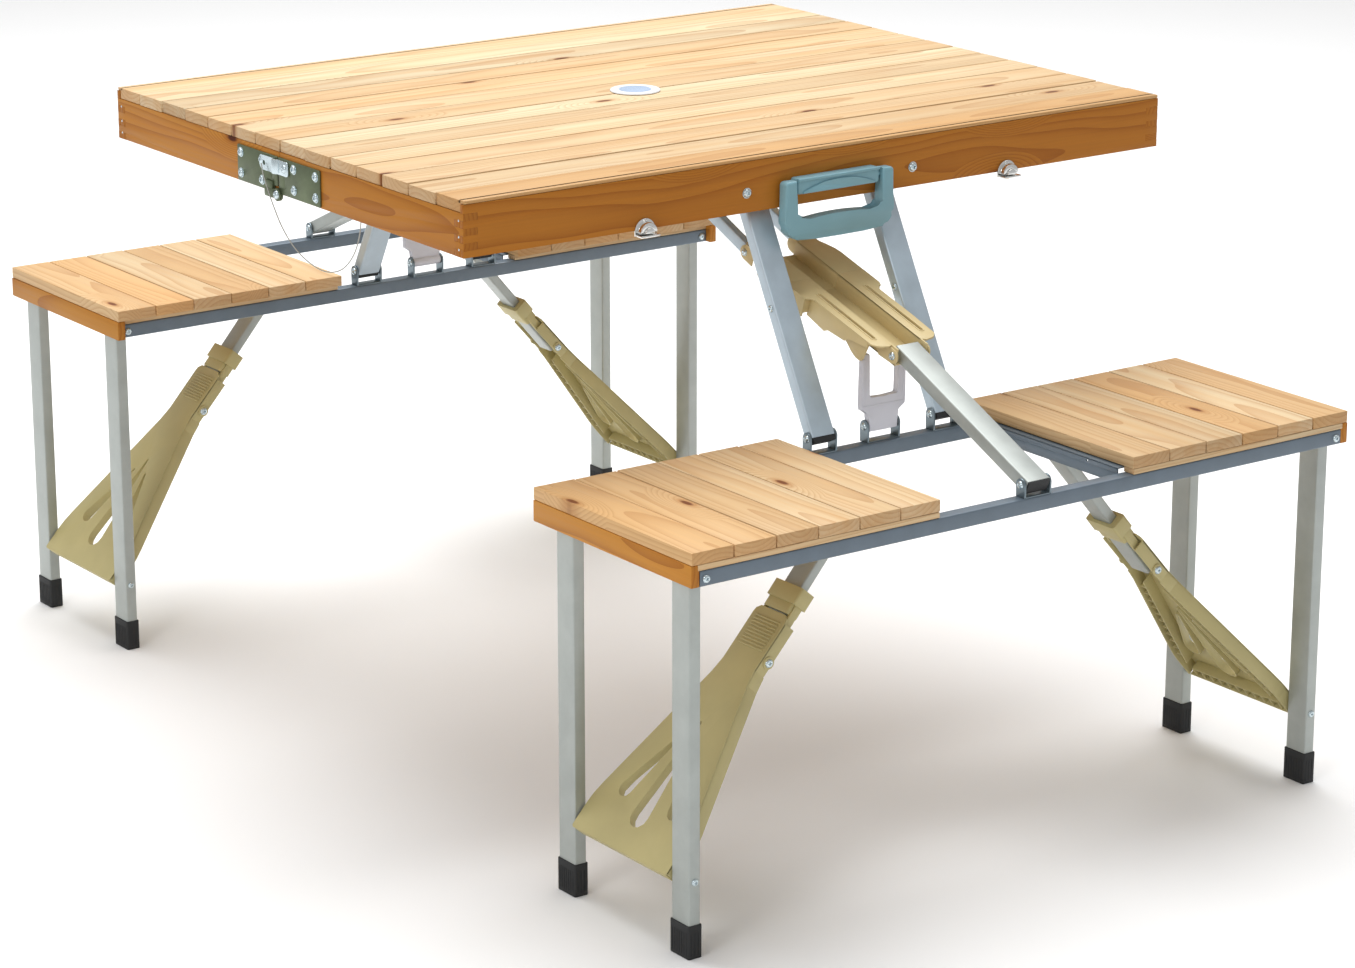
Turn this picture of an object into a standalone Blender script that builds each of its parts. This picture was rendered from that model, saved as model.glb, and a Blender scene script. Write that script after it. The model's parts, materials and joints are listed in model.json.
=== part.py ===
"""Folding picnic table: a slatted two-leaf table with two fold-out benches of two seats each.

Frame: metres, +Z up, origin on the floor under the middle of the table. X runs along the fold line,
-Y is the handle side. Both leaves fold down about the line y = 0 at the bottom of their rims.
`out` below is the distance from the fold line, and `side` is -1 for the front leaf, +1 for the back.
"""
import math

import bpy
import bmesh
from mathutils import Matrix, Vector

# ---------------------------------------------------------------- driving dimensions
TABLE_LENGTH = 0.860
TABLE_WIDTH = 0.670
TABLE_HEIGHT = 0.660
RIM_HEIGHT = 0.0545
BOARD = 0.012
RIM_THICKNESS = 0.016
PLANKS_PER_LEAF = 7
UMBRELLA_HOLE_RADIUS = 0.0225

SEAT_TOP = 0.397
SEAT_INNER_X, SEAT_OUTER_X = 0.118, 0.403
SEAT_INNER, SEAT_OUTER = 0.406, 0.659
PLANKS_PER_SEAT = 6

RAIL = 0.015
RAIL_TOP = 0.379
RAIL_END = 0.3935
RAIL_INNER = 0.4215
RAIL_OUTER = 0.6515

LEG_WIDTH, LEG_DEPTH = 0.0274, 0.013
LEG_X = 0.387
LEG_INNER, LEG_OUTER = 0.4443, 0.6287
LEG_PIVOT_Z = 0.371
FOOT_HEIGHT = 0.033
FOOT_WALL = 0.0013
BRACE_PIN_Z = 0.075
BRACE_OUT = 0.5365

A_LEG_X = 0.077
A_LEG_WIDTH, A_LEG_DEPTH = 0.028, 0.014
ARM_X = 0.0323
BRACKET_WALL, BRACKET_DEPTH = 0.0192, 0.0093
CHANNEL_SHARE = 0.088            # length of the upper channel from its pivot
FLANGE_SPAN = (0.055, 0.145)     # where the lower half's flanges run, from the strut pin
LINK_LENGTH = 0.075
BRACE_TUBE_DEPTH = 0.011
PIN_RADIUS = 0.0025
GAP = 0.0003
SHEET = 0.002
SEGMENTS = 16

# ---------------------------------------------------------------- fittings
HINGE_REACH, HINGE_HEIGHT = 0.080, 0.038
TAB_Z = 0.634
HANDLE_PIVOT_Y, HANDLE_PIVOT_Z = -0.3435, 0.6265
LATCH_X = 0.225
TETHER_DIAMETER = 0.0012
TETHER_ROUTE = [(-0.4369, 0.0240, 0.6335), (-0.4376, 0.0200, 0.6240), (-0.4380, 0.0110, 0.6100),
                (-0.4376, 0.0000, 0.5930), (-0.4350, -0.0110, 0.5740), (-0.4300, -0.0250, 0.5560),
                (-0.4235, -0.0430, 0.5430), (-0.4175, -0.0640, 0.5375), (-0.4125, -0.0850, 0.5430),
                (-0.4095, -0.1020, 0.5590), (-0.4085, -0.1130, 0.5800), (-0.4085, -0.1180, 0.6020),
                (-0.4087, -0.1190, 0.6200)]

# ---------------------------------------------------------------- pivots, as (out, height)
RIM_BOTTOM = TABLE_HEIGHT - RIM_HEIGHT
BOARD_BOTTOM = TABLE_HEIGHT - BOARD
A_LEG_TOP = (0.2915, 0.639)
A_LEG_FOOT = (RAIL_INNER, 0.395)
LINK_FOOT = (0.4185, 0.395)
ARM_TOP = (0.022, 0.635)
ARM_END = (0.2466, 0.540)
STRUT_TOP = (0.4617, 0.476)
STRUT_FOOT = (RAIL_OUTER, 0.391)

# brace pivots, as (x, height)
BRACE_TOP = (0.127, LEG_PIVOT_Z)
BRACE_ELBOW = (0.2437, 0.2348)
BRACE_PIN = (LEG_X, BRACE_PIN_Z)

COLOURS = {
    "pine": ((0.80, 0.58, 0.33), 0.55, 0.0),
    "pine_rim": ((0.72, 0.45, 0.20), 0.55, 0.0),
    "aluminium": ((0.62, 0.66, 0.70), 0.42, 0.85),
    "leg_tube": ((0.66, 0.67, 0.67), 0.45, 0.8),
    "rail_steel": ((0.30, 0.35, 0.41), 0.45, 0.3),
    "zinc": ((0.42, 0.44, 0.34), 0.35, 0.9),
    "bright_zinc": ((0.66, 0.74, 0.78), 0.3, 0.9),
    "chrome": ((0.80, 0.80, 0.80), 0.15, 1.0),
    "olive_plastic": ((0.52, 0.47, 0.27), 0.5, 0.0),
    "tan_plastic": ((0.74, 0.62, 0.38), 0.5, 0.0),
    "grey_plastic": ((0.76, 0.76, 0.80), 0.5, 0.0),
    "teal_plastic": ((0.33, 0.48, 0.52), 0.45, 0.0),
    "white_plastic": ((0.85, 0.86, 0.88), 0.4, 0.0),
    "rubber": ((0.02, 0.02, 0.022), 0.7, 0.0),
    "wire": ((0.75, 0.75, 0.75), 0.35, 0.9),
}


# ---------------------------------------------------------------- scene and helpers
def clear_scene():
    for old in list(bpy.data.objects):
        bpy.data.objects.remove(old, do_unlink=True)


def new_collection(name):
    made = bpy.data.collections.new(name)
    bpy.context.scene.collection.children.link(made)
    return made


def make_material(node, look):
    colour, roughness, metallic = COLOURS[look]
    made = bpy.data.materials.new(node)
    made.use_nodes = True
    shader = made.node_tree.nodes["Principled BSDF"]
    shader.inputs["Base Color"].default_value = (*colour, 1.0)
    shader.inputs["Roughness"].default_value = roughness
    shader.inputs["Metallic"].default_value = metallic
    made.diffuse_color = (*colour, 1.0)
    return made


def solid(mesh_builder, matrix):
    """One closed primitive, placed by a matrix, as a plain mesh object in the cutters' collection."""
    shape = bmesh.new()
    mesh_builder(shape)
    bmesh.ops.transform(shape, matrix=matrix, verts=shape.verts)
    if matrix.determinant() < 0:
        bmesh.ops.reverse_faces(shape, faces=shape.faces)
    mesh = bpy.data.meshes.new("shape")
    shape.to_mesh(mesh)
    shape.free()
    made = bpy.data.objects.new("shape", mesh)
    made.hide_render = True
    made.display_type = "WIRE"
    cutters.objects.link(made)
    return made


def box(low, high):
    low, high = Vector(low), Vector(high)
    lower = Vector(map(min, low, high))
    upper = Vector(map(max, low, high))
    place = Matrix.Translation((lower + upper) / 2) @ Matrix.Diagonal((*(upper - lower), 1.0))
    return solid(lambda shape: bmesh.ops.create_cube(shape, size=1.0), place)


def rod(start, end, radius, segments=SEGMENTS):
    """A cylinder between two points."""
    start, end = Vector(start), Vector(end)
    run = end - start
    turn = run.to_track_quat("Z", "Y").to_matrix().to_4x4()
    place = Matrix.Translation((start + end) / 2) @ turn

    def build(shape):
        bmesh.ops.create_cone(shape, cap_ends=True, segments=segments, radius1=radius,
                              radius2=radius, depth=run.length)
    return solid(build, place)


def bar(start, end, across, low, high):
    """A box along a line: low and high are (across, along past the ends, normal) limits."""
    start, end, across = Vector(start), Vector(end), Vector(across)
    along = (end - start).normalized()
    normal = across.cross(along)
    frame = Matrix((across, along, normal)).transposed().to_4x4()
    length = (end - start).length
    size = Vector((high[0] - low[0], length + high[1] + low[1], high[2] - low[2]))
    middle = Vector(((low[0] + high[0]) / 2, (length + high[1] - low[1]) / 2, (low[2] + high[2]) / 2))
    place = Matrix.Translation(start) @ frame @ Matrix.Translation(middle) @ Matrix.Diagonal((*size, 1))
    return solid(lambda shape: bmesh.ops.create_cube(shape, size=1.0), place)


def sheet(points, origin, u, v, low, high):
    """A flat outline in the (u, v) plane at origin, thickened from low to high along u x v."""
    curve = bpy.data.curves.new("outline", "CURVE")
    curve.dimensions = "2D"
    curve.fill_mode = "BOTH"
    curve.extrude = (high - low) / 2
    spline = curve.splines.new("POLY")
    spline.points.add(len(points) - 1)
    spline.use_cyclic_u = True
    for point, (along, beside) in zip(spline.points, points):
        point.co = (along, beside, 0, 1)
    flat = bpy.data.objects.new("outline", curve)
    cutters.objects.link(flat)
    bpy.context.view_layer.update()
    mesh = bpy.data.meshes.new_from_object(flat.evaluated_get(bpy.context.evaluated_depsgraph_get()))
    bpy.data.objects.remove(flat, do_unlink=True)
    u, v = Vector(u), Vector(v)
    w = u.cross(v)
    place = Matrix.Translation(Vector(origin) + w * (low + high) / 2)
    place = place @ Matrix((u, v, w)).transposed().to_4x4()
    shape = bmesh.new()
    shape.from_mesh(mesh)
    bmesh.ops.remove_doubles(shape, verts=shape.verts, dist=0.00001)
    bmesh.ops.transform(shape, matrix=place, verts=shape.verts)
    bmesh.ops.recalc_face_normals(shape, faces=shape.faces)
    shape.to_mesh(mesh)
    shape.free()
    made = bpy.data.objects.new("shape", mesh)
    made.hide_render = True
    made.display_type = "WIRE"
    cutters.objects.link(made)
    return made


def stadium(length, radius, steps=8):
    """Outline of a bar with round ends, centred on its two end points."""
    ends = []
    for centre, first in ((length, -90), (0.0, 90)):
        for step in range(steps + 1):
            turn = math.radians(first + 180 * step / steps)
            ends.append((centre + radius * math.cos(turn), radius * math.sin(turn)))
    return ends


def boolean(target, others, operation, solver):
    for other in others:
        cut = target.modifiers.new(operation.lower(), "BOOLEAN")
        cut.operation = operation
        cut.solver = solver
        cut.object = other


def part(name, look, origin, pieces, holes=(), solver="EXACT"):
    """Joins the pieces, cuts the holes, and keeps one clean mesh whose origin is on its joint."""
    base = pieces[0]
    boolean(base, pieces[1:], "UNION", solver)
    boolean(base, holes, "DIFFERENCE", solver)
    bpy.context.view_layer.update()
    shape = bpy.data.meshes.new_from_object(base.evaluated_get(bpy.context.evaluated_depsgraph_get()))
    for used in [*pieces, *holes]:
        bpy.data.objects.remove(used, do_unlink=True)
    shape.name = name
    shape.transform(Matrix.Translation(-Vector(origin)))
    shape.materials.clear()
    shape.materials.append(make_material(name, look))
    shape.shade_smooth()
    shape.set_sharp_from_angle(angle=math.radians(35))
    made = bpy.data.objects.new(name, shape)
    made.location = origin
    parts.objects.link(made)
    return made


def at(side, pivot, x=0.0):
    """A point from an (out, height) pivot."""
    return Vector((x, side * pivot[0], pivot[1]))


def flat_bar(start, end, across, half_width, radius):
    """A flat tube with round ends between two pivots, its width centred along across."""
    run = end - start
    along = run.normalized()
    return sheet(stadium(run.length, radius), start, along, across.cross(along) * -1,
                 -half_width, half_width)


def pin_hole(point, across, reach):
    return rod(point - across * reach, point + across * reach, PIN_RADIUS + GAP)


def pin(point, across, reach):
    return rod(point - across * reach, point + across * reach, PIN_RADIUS)


X_AXIS = Vector((1, 0, 0))
Y_AXIS = Vector((0, 1, 0))


# ---------------------------------------------------------------- table leaves
def table_top(side, name):
    half = TABLE_LENGTH / 2
    slab = box((-half, side * GAP, BOARD_BOTTOM), (half, side * TABLE_WIDTH / 2, TABLE_HEIGHT))
    pitch = TABLE_WIDTH / 2 / PLANKS_PER_LEAF
    groove = 0.0008
    cuts = [box((-half - 0.01, side * (index * pitch - groove), TABLE_HEIGHT - 0.004),
                (half + 0.01, side * (index * pitch + groove), TABLE_HEIGHT + 0.01))
            for index in range(1, PLANKS_PER_LEAF)]
    cuts.append(rod((0, 0, BOARD_BOTTOM - 0.01), (0, 0, TABLE_HEIGHT + 0.01), UMBRELLA_HOLE_RADIUS, 32))
    part(name, "pine", (0, 0, RIM_BOTTOM), [slab], cuts)


def table_rim(side, name):
    half = TABLE_LENGTH / 2
    edge = TABLE_WIDTH / 2
    top = BOARD_BOTTOM - GAP
    long_board = box((-half, side * (edge - RIM_THICKNESS), RIM_BOTTOM), (half, side * edge, top))
    ends = [box((end * half, side * GAP, RIM_BOTTOM),
                (end * (half - RIM_THICKNESS), side * (edge - 0.001), top)) for end in (-1, 1)]
    part(name, "pine_rim", (0, 0, RIM_BOTTOM), [long_board, *ends])


def pivot_plate(side, name):
    """Steel sheet under the boards with the ears for the A legs and the strut arms."""
    top = BOARD_BOTTOM - GAP
    under = top - 0.0012
    leg_out = A_LEG_TOP[0]
    strip = box((-0.100, side * (leg_out - 0.009), under), (0.100, side * (leg_out + 0.0085), top))
    spine = box((-0.0415, side * (ARM_TOP[0] - 0.007), under), (0.0415, side * leg_out, top))
    pieces = [strip, spine]
    for x in (-A_LEG_X, A_LEG_X):
        for wall in (-0.0165, 0.0145):
            pieces.append(box((x + wall, side * (leg_out - 0.007), A_LEG_TOP[1] - 0.0065),
                              (x + wall + SHEET, side * (leg_out + 0.007), top)))
        pieces.append(rod(at(side, A_LEG_TOP, x - 0.0155), at(side, A_LEG_TOP, x + 0.0155), PIN_RADIUS))
    holes = []
    for end in (-1, 1):
        pieces.append(box((end * 0.0385, side * (ARM_TOP[0] - 0.006), ARM_TOP[1] - 0.006),
                          (end * 0.0405, side * (ARM_TOP[0] + 0.006), top)))
        holes.append(rod(at(side, ARM_TOP, end * 0.036), at(side, ARM_TOP, end * 0.044),
                         PIN_RADIUS + GAP))
    part(name, "rail_steel", at(side, A_LEG_TOP), pieces, holes)


def umbrella_cap():
    flange = rod((0, 0, TABLE_HEIGHT + GAP), (0, 0, TABLE_HEIGHT + 0.0022), 0.0265, 48)
    spigot = rod((0, 0, TABLE_HEIGHT - 0.011), (0, 0, TABLE_HEIGHT + 0.001), 0.0215, 32)
    part("umbrella_cap", "white_plastic", (0, 0, TABLE_HEIGHT), [flange, spigot])


# ---------------------------------------------------------------- hinges, locks and handle
def hinge_leaf(side, end, name):
    """Screwed plate on the rim's end; its knuckle is on the fold axis at the rim's bottom."""
    inner = TABLE_LENGTH / 2 + GAP
    outer = inner + SHEET
    eye_radius = 0.0065
    high = RIM_BOTTOM + HINGE_HEIGHT
    if side < 0:
        plate = box((end * inner, -0.0009, RIM_BOTTOM + 0.001), (end * outer, -HINGE_REACH, high))
        eye = rod((end * inner, 0, RIM_BOTTOM), (end * outer, 0, RIM_BOTTOM), eye_radius)
        hole = rod((end * (inner - 0.01), 0, RIM_BOTTOM), (end * (outer + 0.01), 0, RIM_BOTTOM), 0.0028)
        part(name, "zinc", (0, 0, RIM_BOTTOM), [plate, eye], [hole])
        return
    room = eye_radius + 0.001
    lift = outer + GAP
    far = lift + SHEET
    upper = box((end * inner, 0.0009, RIM_BOTTOM + room), (end * outer, HINGE_REACH, high))
    lower = box((end * inner, room, RIM_BOTTOM + 0.001), (end * outer, HINGE_REACH, high))
    step = box((end * (outer - 0.001), room + 0.001, RIM_BOTTOM + 0.002),
               (end * far, 0.024, RIM_BOTTOM + 0.012))
    strap = box((end * lift, -0.003, RIM_BOTTOM - 0.003), (end * far, 0.024, RIM_BOTTOM + 0.005))
    eye = rod((end * lift, 0, RIM_BOTTOM), (end * far, 0, RIM_BOTTOM), eye_radius)
    fold_pin = rod((end * (inner + GAP), 0, RIM_BOTTOM), (end * far, 0, RIM_BOTTOM), PIN_RADIUS)
    part(name, "zinc", (0, 0, RIM_BOTTOM), [upper, lower, step, strap, eye, fold_pin])


def lock_tab(end, name):
    """Spring tab riveted to the front hinge leaf; its holed end lies over the back leaf."""
    inner = TABLE_LENGTH / 2 + 2 * GAP + SHEET
    outer = inner + 0.0015
    low, high = TAB_Z - 0.0075, TAB_Z + 0.0075
    plate = box((end * inner, -0.022, low), (end * outer, 0.026, high))
    nose = rod((end * inner, 0.026, TAB_Z), (end * outer, 0.026, TAB_Z), 0.0075)
    ridge = box((end * inner, -0.001, low), (end * (outer + 0.0025), 0.006, high))
    hole = rod((end * (inner - 0.01), 0.024, TAB_Z), (end * (outer + 0.01), 0.024, TAB_Z), 0.0025)
    part(name, "bright_zinc", (end * inner, -0.017, TAB_Z), [plate, nose, ridge], [hole])


def handle_mount():
    face = -TABLE_WIDTH / 2 - GAP
    block = box((-0.050, face, HANDLE_PIVOT_Z - 0.008), (0.050, face - 0.014, HANDLE_PIVOT_Z + 0.008))
    pins = rod((-0.062, HANDLE_PIVOT_Y, HANDLE_PIVOT_Z), (0.062, HANDLE_PIVOT_Y, HANDLE_PIVOT_Z), PIN_RADIUS)
    part("handle_mount", "teal_plastic", (0, HANDLE_PIVOT_Y, HANDLE_PIVOT_Z), [block, pins])


def handle():
    near, far = HANDLE_PIVOT_Y + 0.005, HANDLE_PIVOT_Y - 0.008
    top, bottom = HANDLE_PIVOT_Z + 0.0065, 0.573
    pieces = [box((-0.067, near, bottom), (0.067, far, bottom + 0.017))]
    holes = []
    for end in (-1, 1):
        pieces.append(box((end * 0.0535, near, bottom + 0.001), (end * 0.067, far, top)))
        holes.append(rod((end * 0.050, HANDLE_PIVOT_Y, HANDLE_PIVOT_Z),
                         (end * 0.070, HANDLE_PIVOT_Y, HANDLE_PIVOT_Z), PIN_RADIUS + GAP))
    part("handle", "teal_plastic", (0, HANDLE_PIVOT_Y, HANDLE_PIVOT_Z), pieces, holes)


def latch(end, name):
    """Sprung hook on the front rim, turning about a pin along X at its top."""
    face = -TABLE_WIDTH / 2 - GAP
    x = end * LATCH_X
    cover = box((x - 0.012, face, 0.603), (x + 0.012, face - 0.007, 0.617))
    nose = rod((x - 0.012, face - 0.0065, 0.606), (x + 0.012, face - 0.0065, 0.606), 0.0062)
    part(name, "chrome", (x, face - 0.004, 0.616), [cover, nose])


def latch_keeper(end, name):
    face = TABLE_WIDTH / 2 + GAP
    x = end * LATCH_X
    plate = box((x - 0.011, face, 0.607), (x + 0.011, face + SHEET, 0.629))
    hook = box((x - 0.008, face, 0.609), (x + 0.008, face + 0.007, 0.612))
    part(name, "chrome", (x, face, 0.618), [plate, hook])


def smooth_route(points, spacing):
    """Evenly spaced points on a Catmull-Rom curve through the route's own points."""
    knots = [Vector(point) for point in points]
    knots = [knots[0] * 2 - knots[1], *knots, knots[-1] * 2 - knots[-2]]
    fine = []
    for a, b, c, d in zip(knots, knots[1:], knots[2:], knots[3:]):
        for step in range(12):
            t = step / 12
            fine.append(0.5 * (2 * b + (c - a) * t + (2 * a - 5 * b + 4 * c - d) * t * t
                               + (3 * b - a - 3 * c + d) * t ** 3))
    fine.append(knots[-2])
    kept = [fine[0]]
    for point in fine[1:]:
        if (point - kept[-1]).length >= spacing:
            kept.append(point)
    kept[-1] = fine[-1]
    return kept


def tether():
    curve = bpy.data.curves.new("tether_route", "CURVE")
    curve.dimensions = "3D"
    curve.bevel_depth = TETHER_DIAMETER / 2
    curve.bevel_resolution = 2
    curve.use_fill_caps = True
    route = smooth_route(TETHER_ROUTE, 2.6 * TETHER_DIAMETER)
    spline = curve.splines.new("POLY")
    spline.points.add(len(route) - 1)
    for point, place in zip(spline.points, route):
        point.co = (*place, 1.0)
    made = bpy.data.objects.new("tether", curve)
    curve.materials.append(make_material("tether", "wire"))
    parts.objects.link(made)


# ---------------------------------------------------------------- bench linkage
def a_leg(side, end, name):
    top, low = at(side, A_LEG_TOP, end * A_LEG_X), at(side, A_LEG_FOOT, end * A_LEG_X)
    tube = flat_bar(top, low, X_AXIS, A_LEG_WIDTH / 2, A_LEG_DEPTH / 2)
    part(name, "aluminium", top, [tube], [pin_hole(point, X_AXIS, 0.02) for point in (top, low)])


def strut_arms(side, name):
    """Two flat arms joined by their table pin."""
    pieces, holes = [], []
    for hand in (-1, 1):
        top, low = at(side, ARM_TOP, hand * ARM_X), at(side, ARM_END, hand * ARM_X)
        pieces.append(flat_bar(top, low, X_AXIS, 0.0044, A_LEG_DEPTH / 2))
        holes.append(pin_hole(low, X_AXIS, 0.0065))
    pieces.append(pin(at(side, ARM_TOP), X_AXIS, 0.0413))
    part(name, "aluminium", at(side, ARM_TOP), pieces, holes, "MANIFOLD")


def bracket_upper(side, name):
    """Tan channel carried by the arms: web, two walls, and the ears that hold the arms' ends."""
    start, end = at(side, ARM_END), at(side, STRUT_TOP)
    across = X_AXIS * side
    stop = CHANNEL_SHARE - (end - start).length
    wall, web, lip = BRACKET_WALL, BRACKET_DEPTH, BRACKET_DEPTH - 0.0018
    pieces = [bar(start, end, across, (-wall, 0.008, -web), (wall, stop, 0.0018 - web))]
    for hand in (-1, 1):
        reach = sorted((hand * (wall - SHEET), hand * (wall - 0.0002)))
        pieces.append(bar(start, end, across, (reach[0], 0.0078, 0.0006 - web),
                          (reach[1], stop - 0.0002, web - 0.0006)))
        reach = sorted((hand * (wall - 0.0018), hand * 0.0400))
        pieces.append(bar(start, end, across, (reach[0], -0.002, lip),
                          (reach[1], 0.012 - (end - start).length, web)))
        reach = sorted((hand * 0.0372, hand * 0.0399))
        pieces.append(bar(start, end, across, (reach[0], 0.0075, -0.0065),
                          (reach[1], 0.0085 - (end - start).length, lip + 0.0008)))
        pieces.append(rod(at(side, ARM_END, hand * (wall - 0.001)), at(side, ARM_END, hand * 0.0395),
                          PIN_RADIUS))
    part(name, "tan_plastic", start, pieces)


def bracket_lower(side, name):
    """Tan flanges carried by the lower strut, beside the channel, joined by the strut's pin."""
    start, end = at(side, ARM_END), at(side, STRUT_TOP)
    across = X_AXIS * side
    length = (end - start).length
    wall, web, lip = BRACKET_WALL, BRACKET_DEPTH, BRACKET_DEPTH - 0.0018
    first, bridge = FLANGE_SPAN[0] + 0.005 - length, FLANGE_SPAN[0]
    pieces = [bar(start, end, across, (-wall, first, -web), (wall, -0.001, 0.0018 - web))]
    for hand in (-1, 1):
        reach = sorted((hand * (wall - SHEET), hand * (wall - 0.0002)))
        pieces.append(bar(start, end, across, (reach[0], first - 0.0002, 0.0006 - web),
                          (reach[1], 0.0073, web - 0.0006)))
        reach = sorted((hand * (wall - 0.0018), hand * 0.0400))
        pieces.append(bar(start, end, across, (reach[0], first, lip), (reach[1], -bridge, web)))
        reach = sorted((hand * (wall + 0.0005), hand * 0.0398))
        pieces.append(bar(start, end, across, (reach[0], 0.085 - length, lip + 0.0001),
                          (reach[1], -bridge - 0.0002, web - 0.0001)))
        reach = sorted((hand * (wall + 0.0006), hand * 0.0272))
        pieces.append(bar(start, end, across, (reach[0], FLANGE_SPAN[1] - length, lip + 0.0002),
                          (reach[1], -bridge - 0.0004, web - 0.0002)))
    pieces.append(pin(end, X_AXIS, wall - 0.0005))
    part(name, "tan_plastic", end, pieces)


def lower_strut(side, name):
    top, low = at(side, STRUT_TOP), at(side, STRUT_FOOT)
    tube = flat_bar(top, low, X_AXIS, 0.0138, A_LEG_DEPTH / 2)
    part(name, "leg_tube", top, [tube], [pin_hole(point, X_AXIS, 0.02) for point in (top, low)])


def link(side, name):
    """Plastic fork standing on the inner rail; its prongs pass either side of the strut."""
    foot_point = at(side, LINK_FOOT)
    tip = foot_point + Vector((0, 0, LINK_LENGTH))
    across = X_AXIS * -side
    low, high = -0.0045, 0.0005
    base = bar(foot_point, tip, across, (-0.0178, 0, low), (0.0178, 0.0165 - LINK_LENGTH, high))
    bridge = bar(foot_point, tip, across, (-0.0272, -0.0093, low - 0.0004),
                 (0.0272, 0.0165 - LINK_LENGTH, high - 0.0004))
    pieces = [base, bridge]
    for hand in (-1, 1):
        reach = sorted((hand * 0.0199, hand * 0.0271))
        pieces.append(bar(foot_point, tip, across, (reach[0], -0.0095, low), (reach[1], 0, high)))
    pieces.append(rod(at(side, LINK_FOOT, -0.0177), at(side, LINK_FOOT, 0.0177), 0.0052))
    part(name, "grey_plastic", foot_point, pieces, [pin_hole(foot_point, X_AXIS, 0.03)])


# ---------------------------------------------------------------- benches
def clevis(side, pivot, x, half_gap, foot_z):
    """Two ears and their pin, standing on a rail."""
    pieces = [box((x - half_gap - SHEET, side * (pivot[0] - 0.0065), foot_z - 0.0008),
                  (x + half_gap + SHEET, side * (pivot[0] + 0.0065), foot_z + 0.0012))]
    for hand in (-1, 1):
        pieces.append(box((x + hand * half_gap, side * (pivot[0] - 0.0065), foot_z - 0.0005),
                          (x + hand * (half_gap + SHEET), side * (pivot[0] + 0.0065), pivot[1] + 0.006)))
    pieces.append(rod(at(side, pivot, x - half_gap - 0.001), at(side, pivot, x + half_gap + 0.001),
                      PIN_RADIUS))
    return pieces


def bench_frame(side, name):
    """Both rails, the cross straps under the seats, and every clevis, welded in one frame."""
    low = RAIL_TOP - RAIL
    pieces = [box((-RAIL_END, side * (out - RAIL / 2), low), (RAIL_END, side * (out + RAIL / 2), RAIL_TOP))
              for out in (RAIL_INNER, RAIL_OUTER)]
    holes = []
    for end in (-1, 1):
        pieces.append(box((end * 0.1115, side * (RAIL_INNER - 0.004), RAIL_TOP - 0.0009),
                          (end * 0.144, side * (RAIL_OUTER + 0.004), RAIL_TOP + 0.0050)))
        half = 0.0137
        for hand in (-1, 1):
            wall = BRACE_OUT + hand * half
            pieces.append(box((end * (BRACE_TOP[0] - 0.007), side * wall, BRACE_TOP[1] - 0.0045),
                              (end * (BRACE_TOP[0] + 0.007), side * (wall + hand * SHEET), RAIL_TOP)))
        pin_y = side * BRACE_OUT
        pieces.append(rod((end * BRACE_TOP[0], pin_y - 0.0145, BRACE_TOP[1]),
                          (end * BRACE_TOP[0], pin_y + 0.0145, BRACE_TOP[1]), PIN_RADIUS))
        holes.append(rod((end * LEG_X, side * 0.40, LEG_PIVOT_Z),
                         (end * LEG_X, side * 0.67, LEG_PIVOT_Z), 0.0033))
        pieces += clevis(side, A_LEG_FOOT, end * A_LEG_X, A_LEG_WIDTH / 2 + 0.0005, RAIL_TOP)
    pieces += clevis(side, LINK_FOOT, 0, 0.0183, RAIL_TOP)
    pieces += clevis(side, STRUT_FOOT, 0, 0.0145, RAIL_TOP)
    part(name, "rail_steel", (0, side * RAIL_INNER, RAIL_TOP), pieces, holes)


def seat(side, end, name):
    """Six planks across two cleats, with the end skirt."""
    board_low = SEAT_TOP - BOARD
    slab = box((end * SEAT_INNER_X, side * SEAT_INNER, board_low),
               (end * SEAT_OUTER_X, side * SEAT_OUTER, SEAT_TOP))
    pieces = [slab]
    for out in (RAIL_INNER, RAIL_OUTER):
        pieces.append(box((end * 0.1455, side * (out - 0.0073), RAIL_TOP + GAP),
                          (end * 0.396, side * (out + 0.0073), board_low + 0.0005)))
    pieces.append(box((end * (RAIL_END + 0.0004), side * SEAT_INNER, RAIL_TOP - RAIL),
                      (end * SEAT_OUTER_X, side * SEAT_OUTER, board_low + 0.0005)))
    pitch = (SEAT_OUTER_X - SEAT_INNER_X) / PLANKS_PER_SEAT
    cuts = []
    for index in range(1, PLANKS_PER_SEAT):
        x = end * (SEAT_INNER_X + index * pitch)
        cuts.append(box((x - 0.0008, side * (SEAT_INNER - 0.01), SEAT_TOP - 0.004),
                        (x + 0.0008, side * (SEAT_OUTER + 0.01), SEAT_TOP + 0.01)))
    part(name, "pine", (end * SEAT_OUTER_X, side * SEAT_OUTER, SEAT_TOP), pieces, cuts)


def leg_frame(side, end, name):
    """Two square legs on their shared axle."""
    x = end * LEG_X
    pieces = []
    for out in (LEG_INNER, LEG_OUTER):
        radius = LEG_DEPTH / 2
        drop = LEG_PIVOT_Z - FOOT_WALL - GAP
        outline = [point for point in stadium(drop, radius) if point[0] < radius + drop / 2]
        outline = [(drop, -radius), (drop, radius), *outline]
        pieces.append(sheet(outline, (x, side * out, LEG_PIVOT_Z), (0, 0, -1), (1, 0, 0),
                            -LEG_WIDTH / 2 + 0.0002, LEG_WIDTH / 2 - 0.0002))
    pieces.append(rod((x, side * (RAIL_INNER - 0.006), LEG_PIVOT_Z),
                      (x, side * (RAIL_OUTER + 0.006), LEG_PIVOT_Z), 0.003))
    part(name, "leg_tube", (x, side * LEG_OUTER, LEG_PIVOT_Z), pieces)


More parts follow.
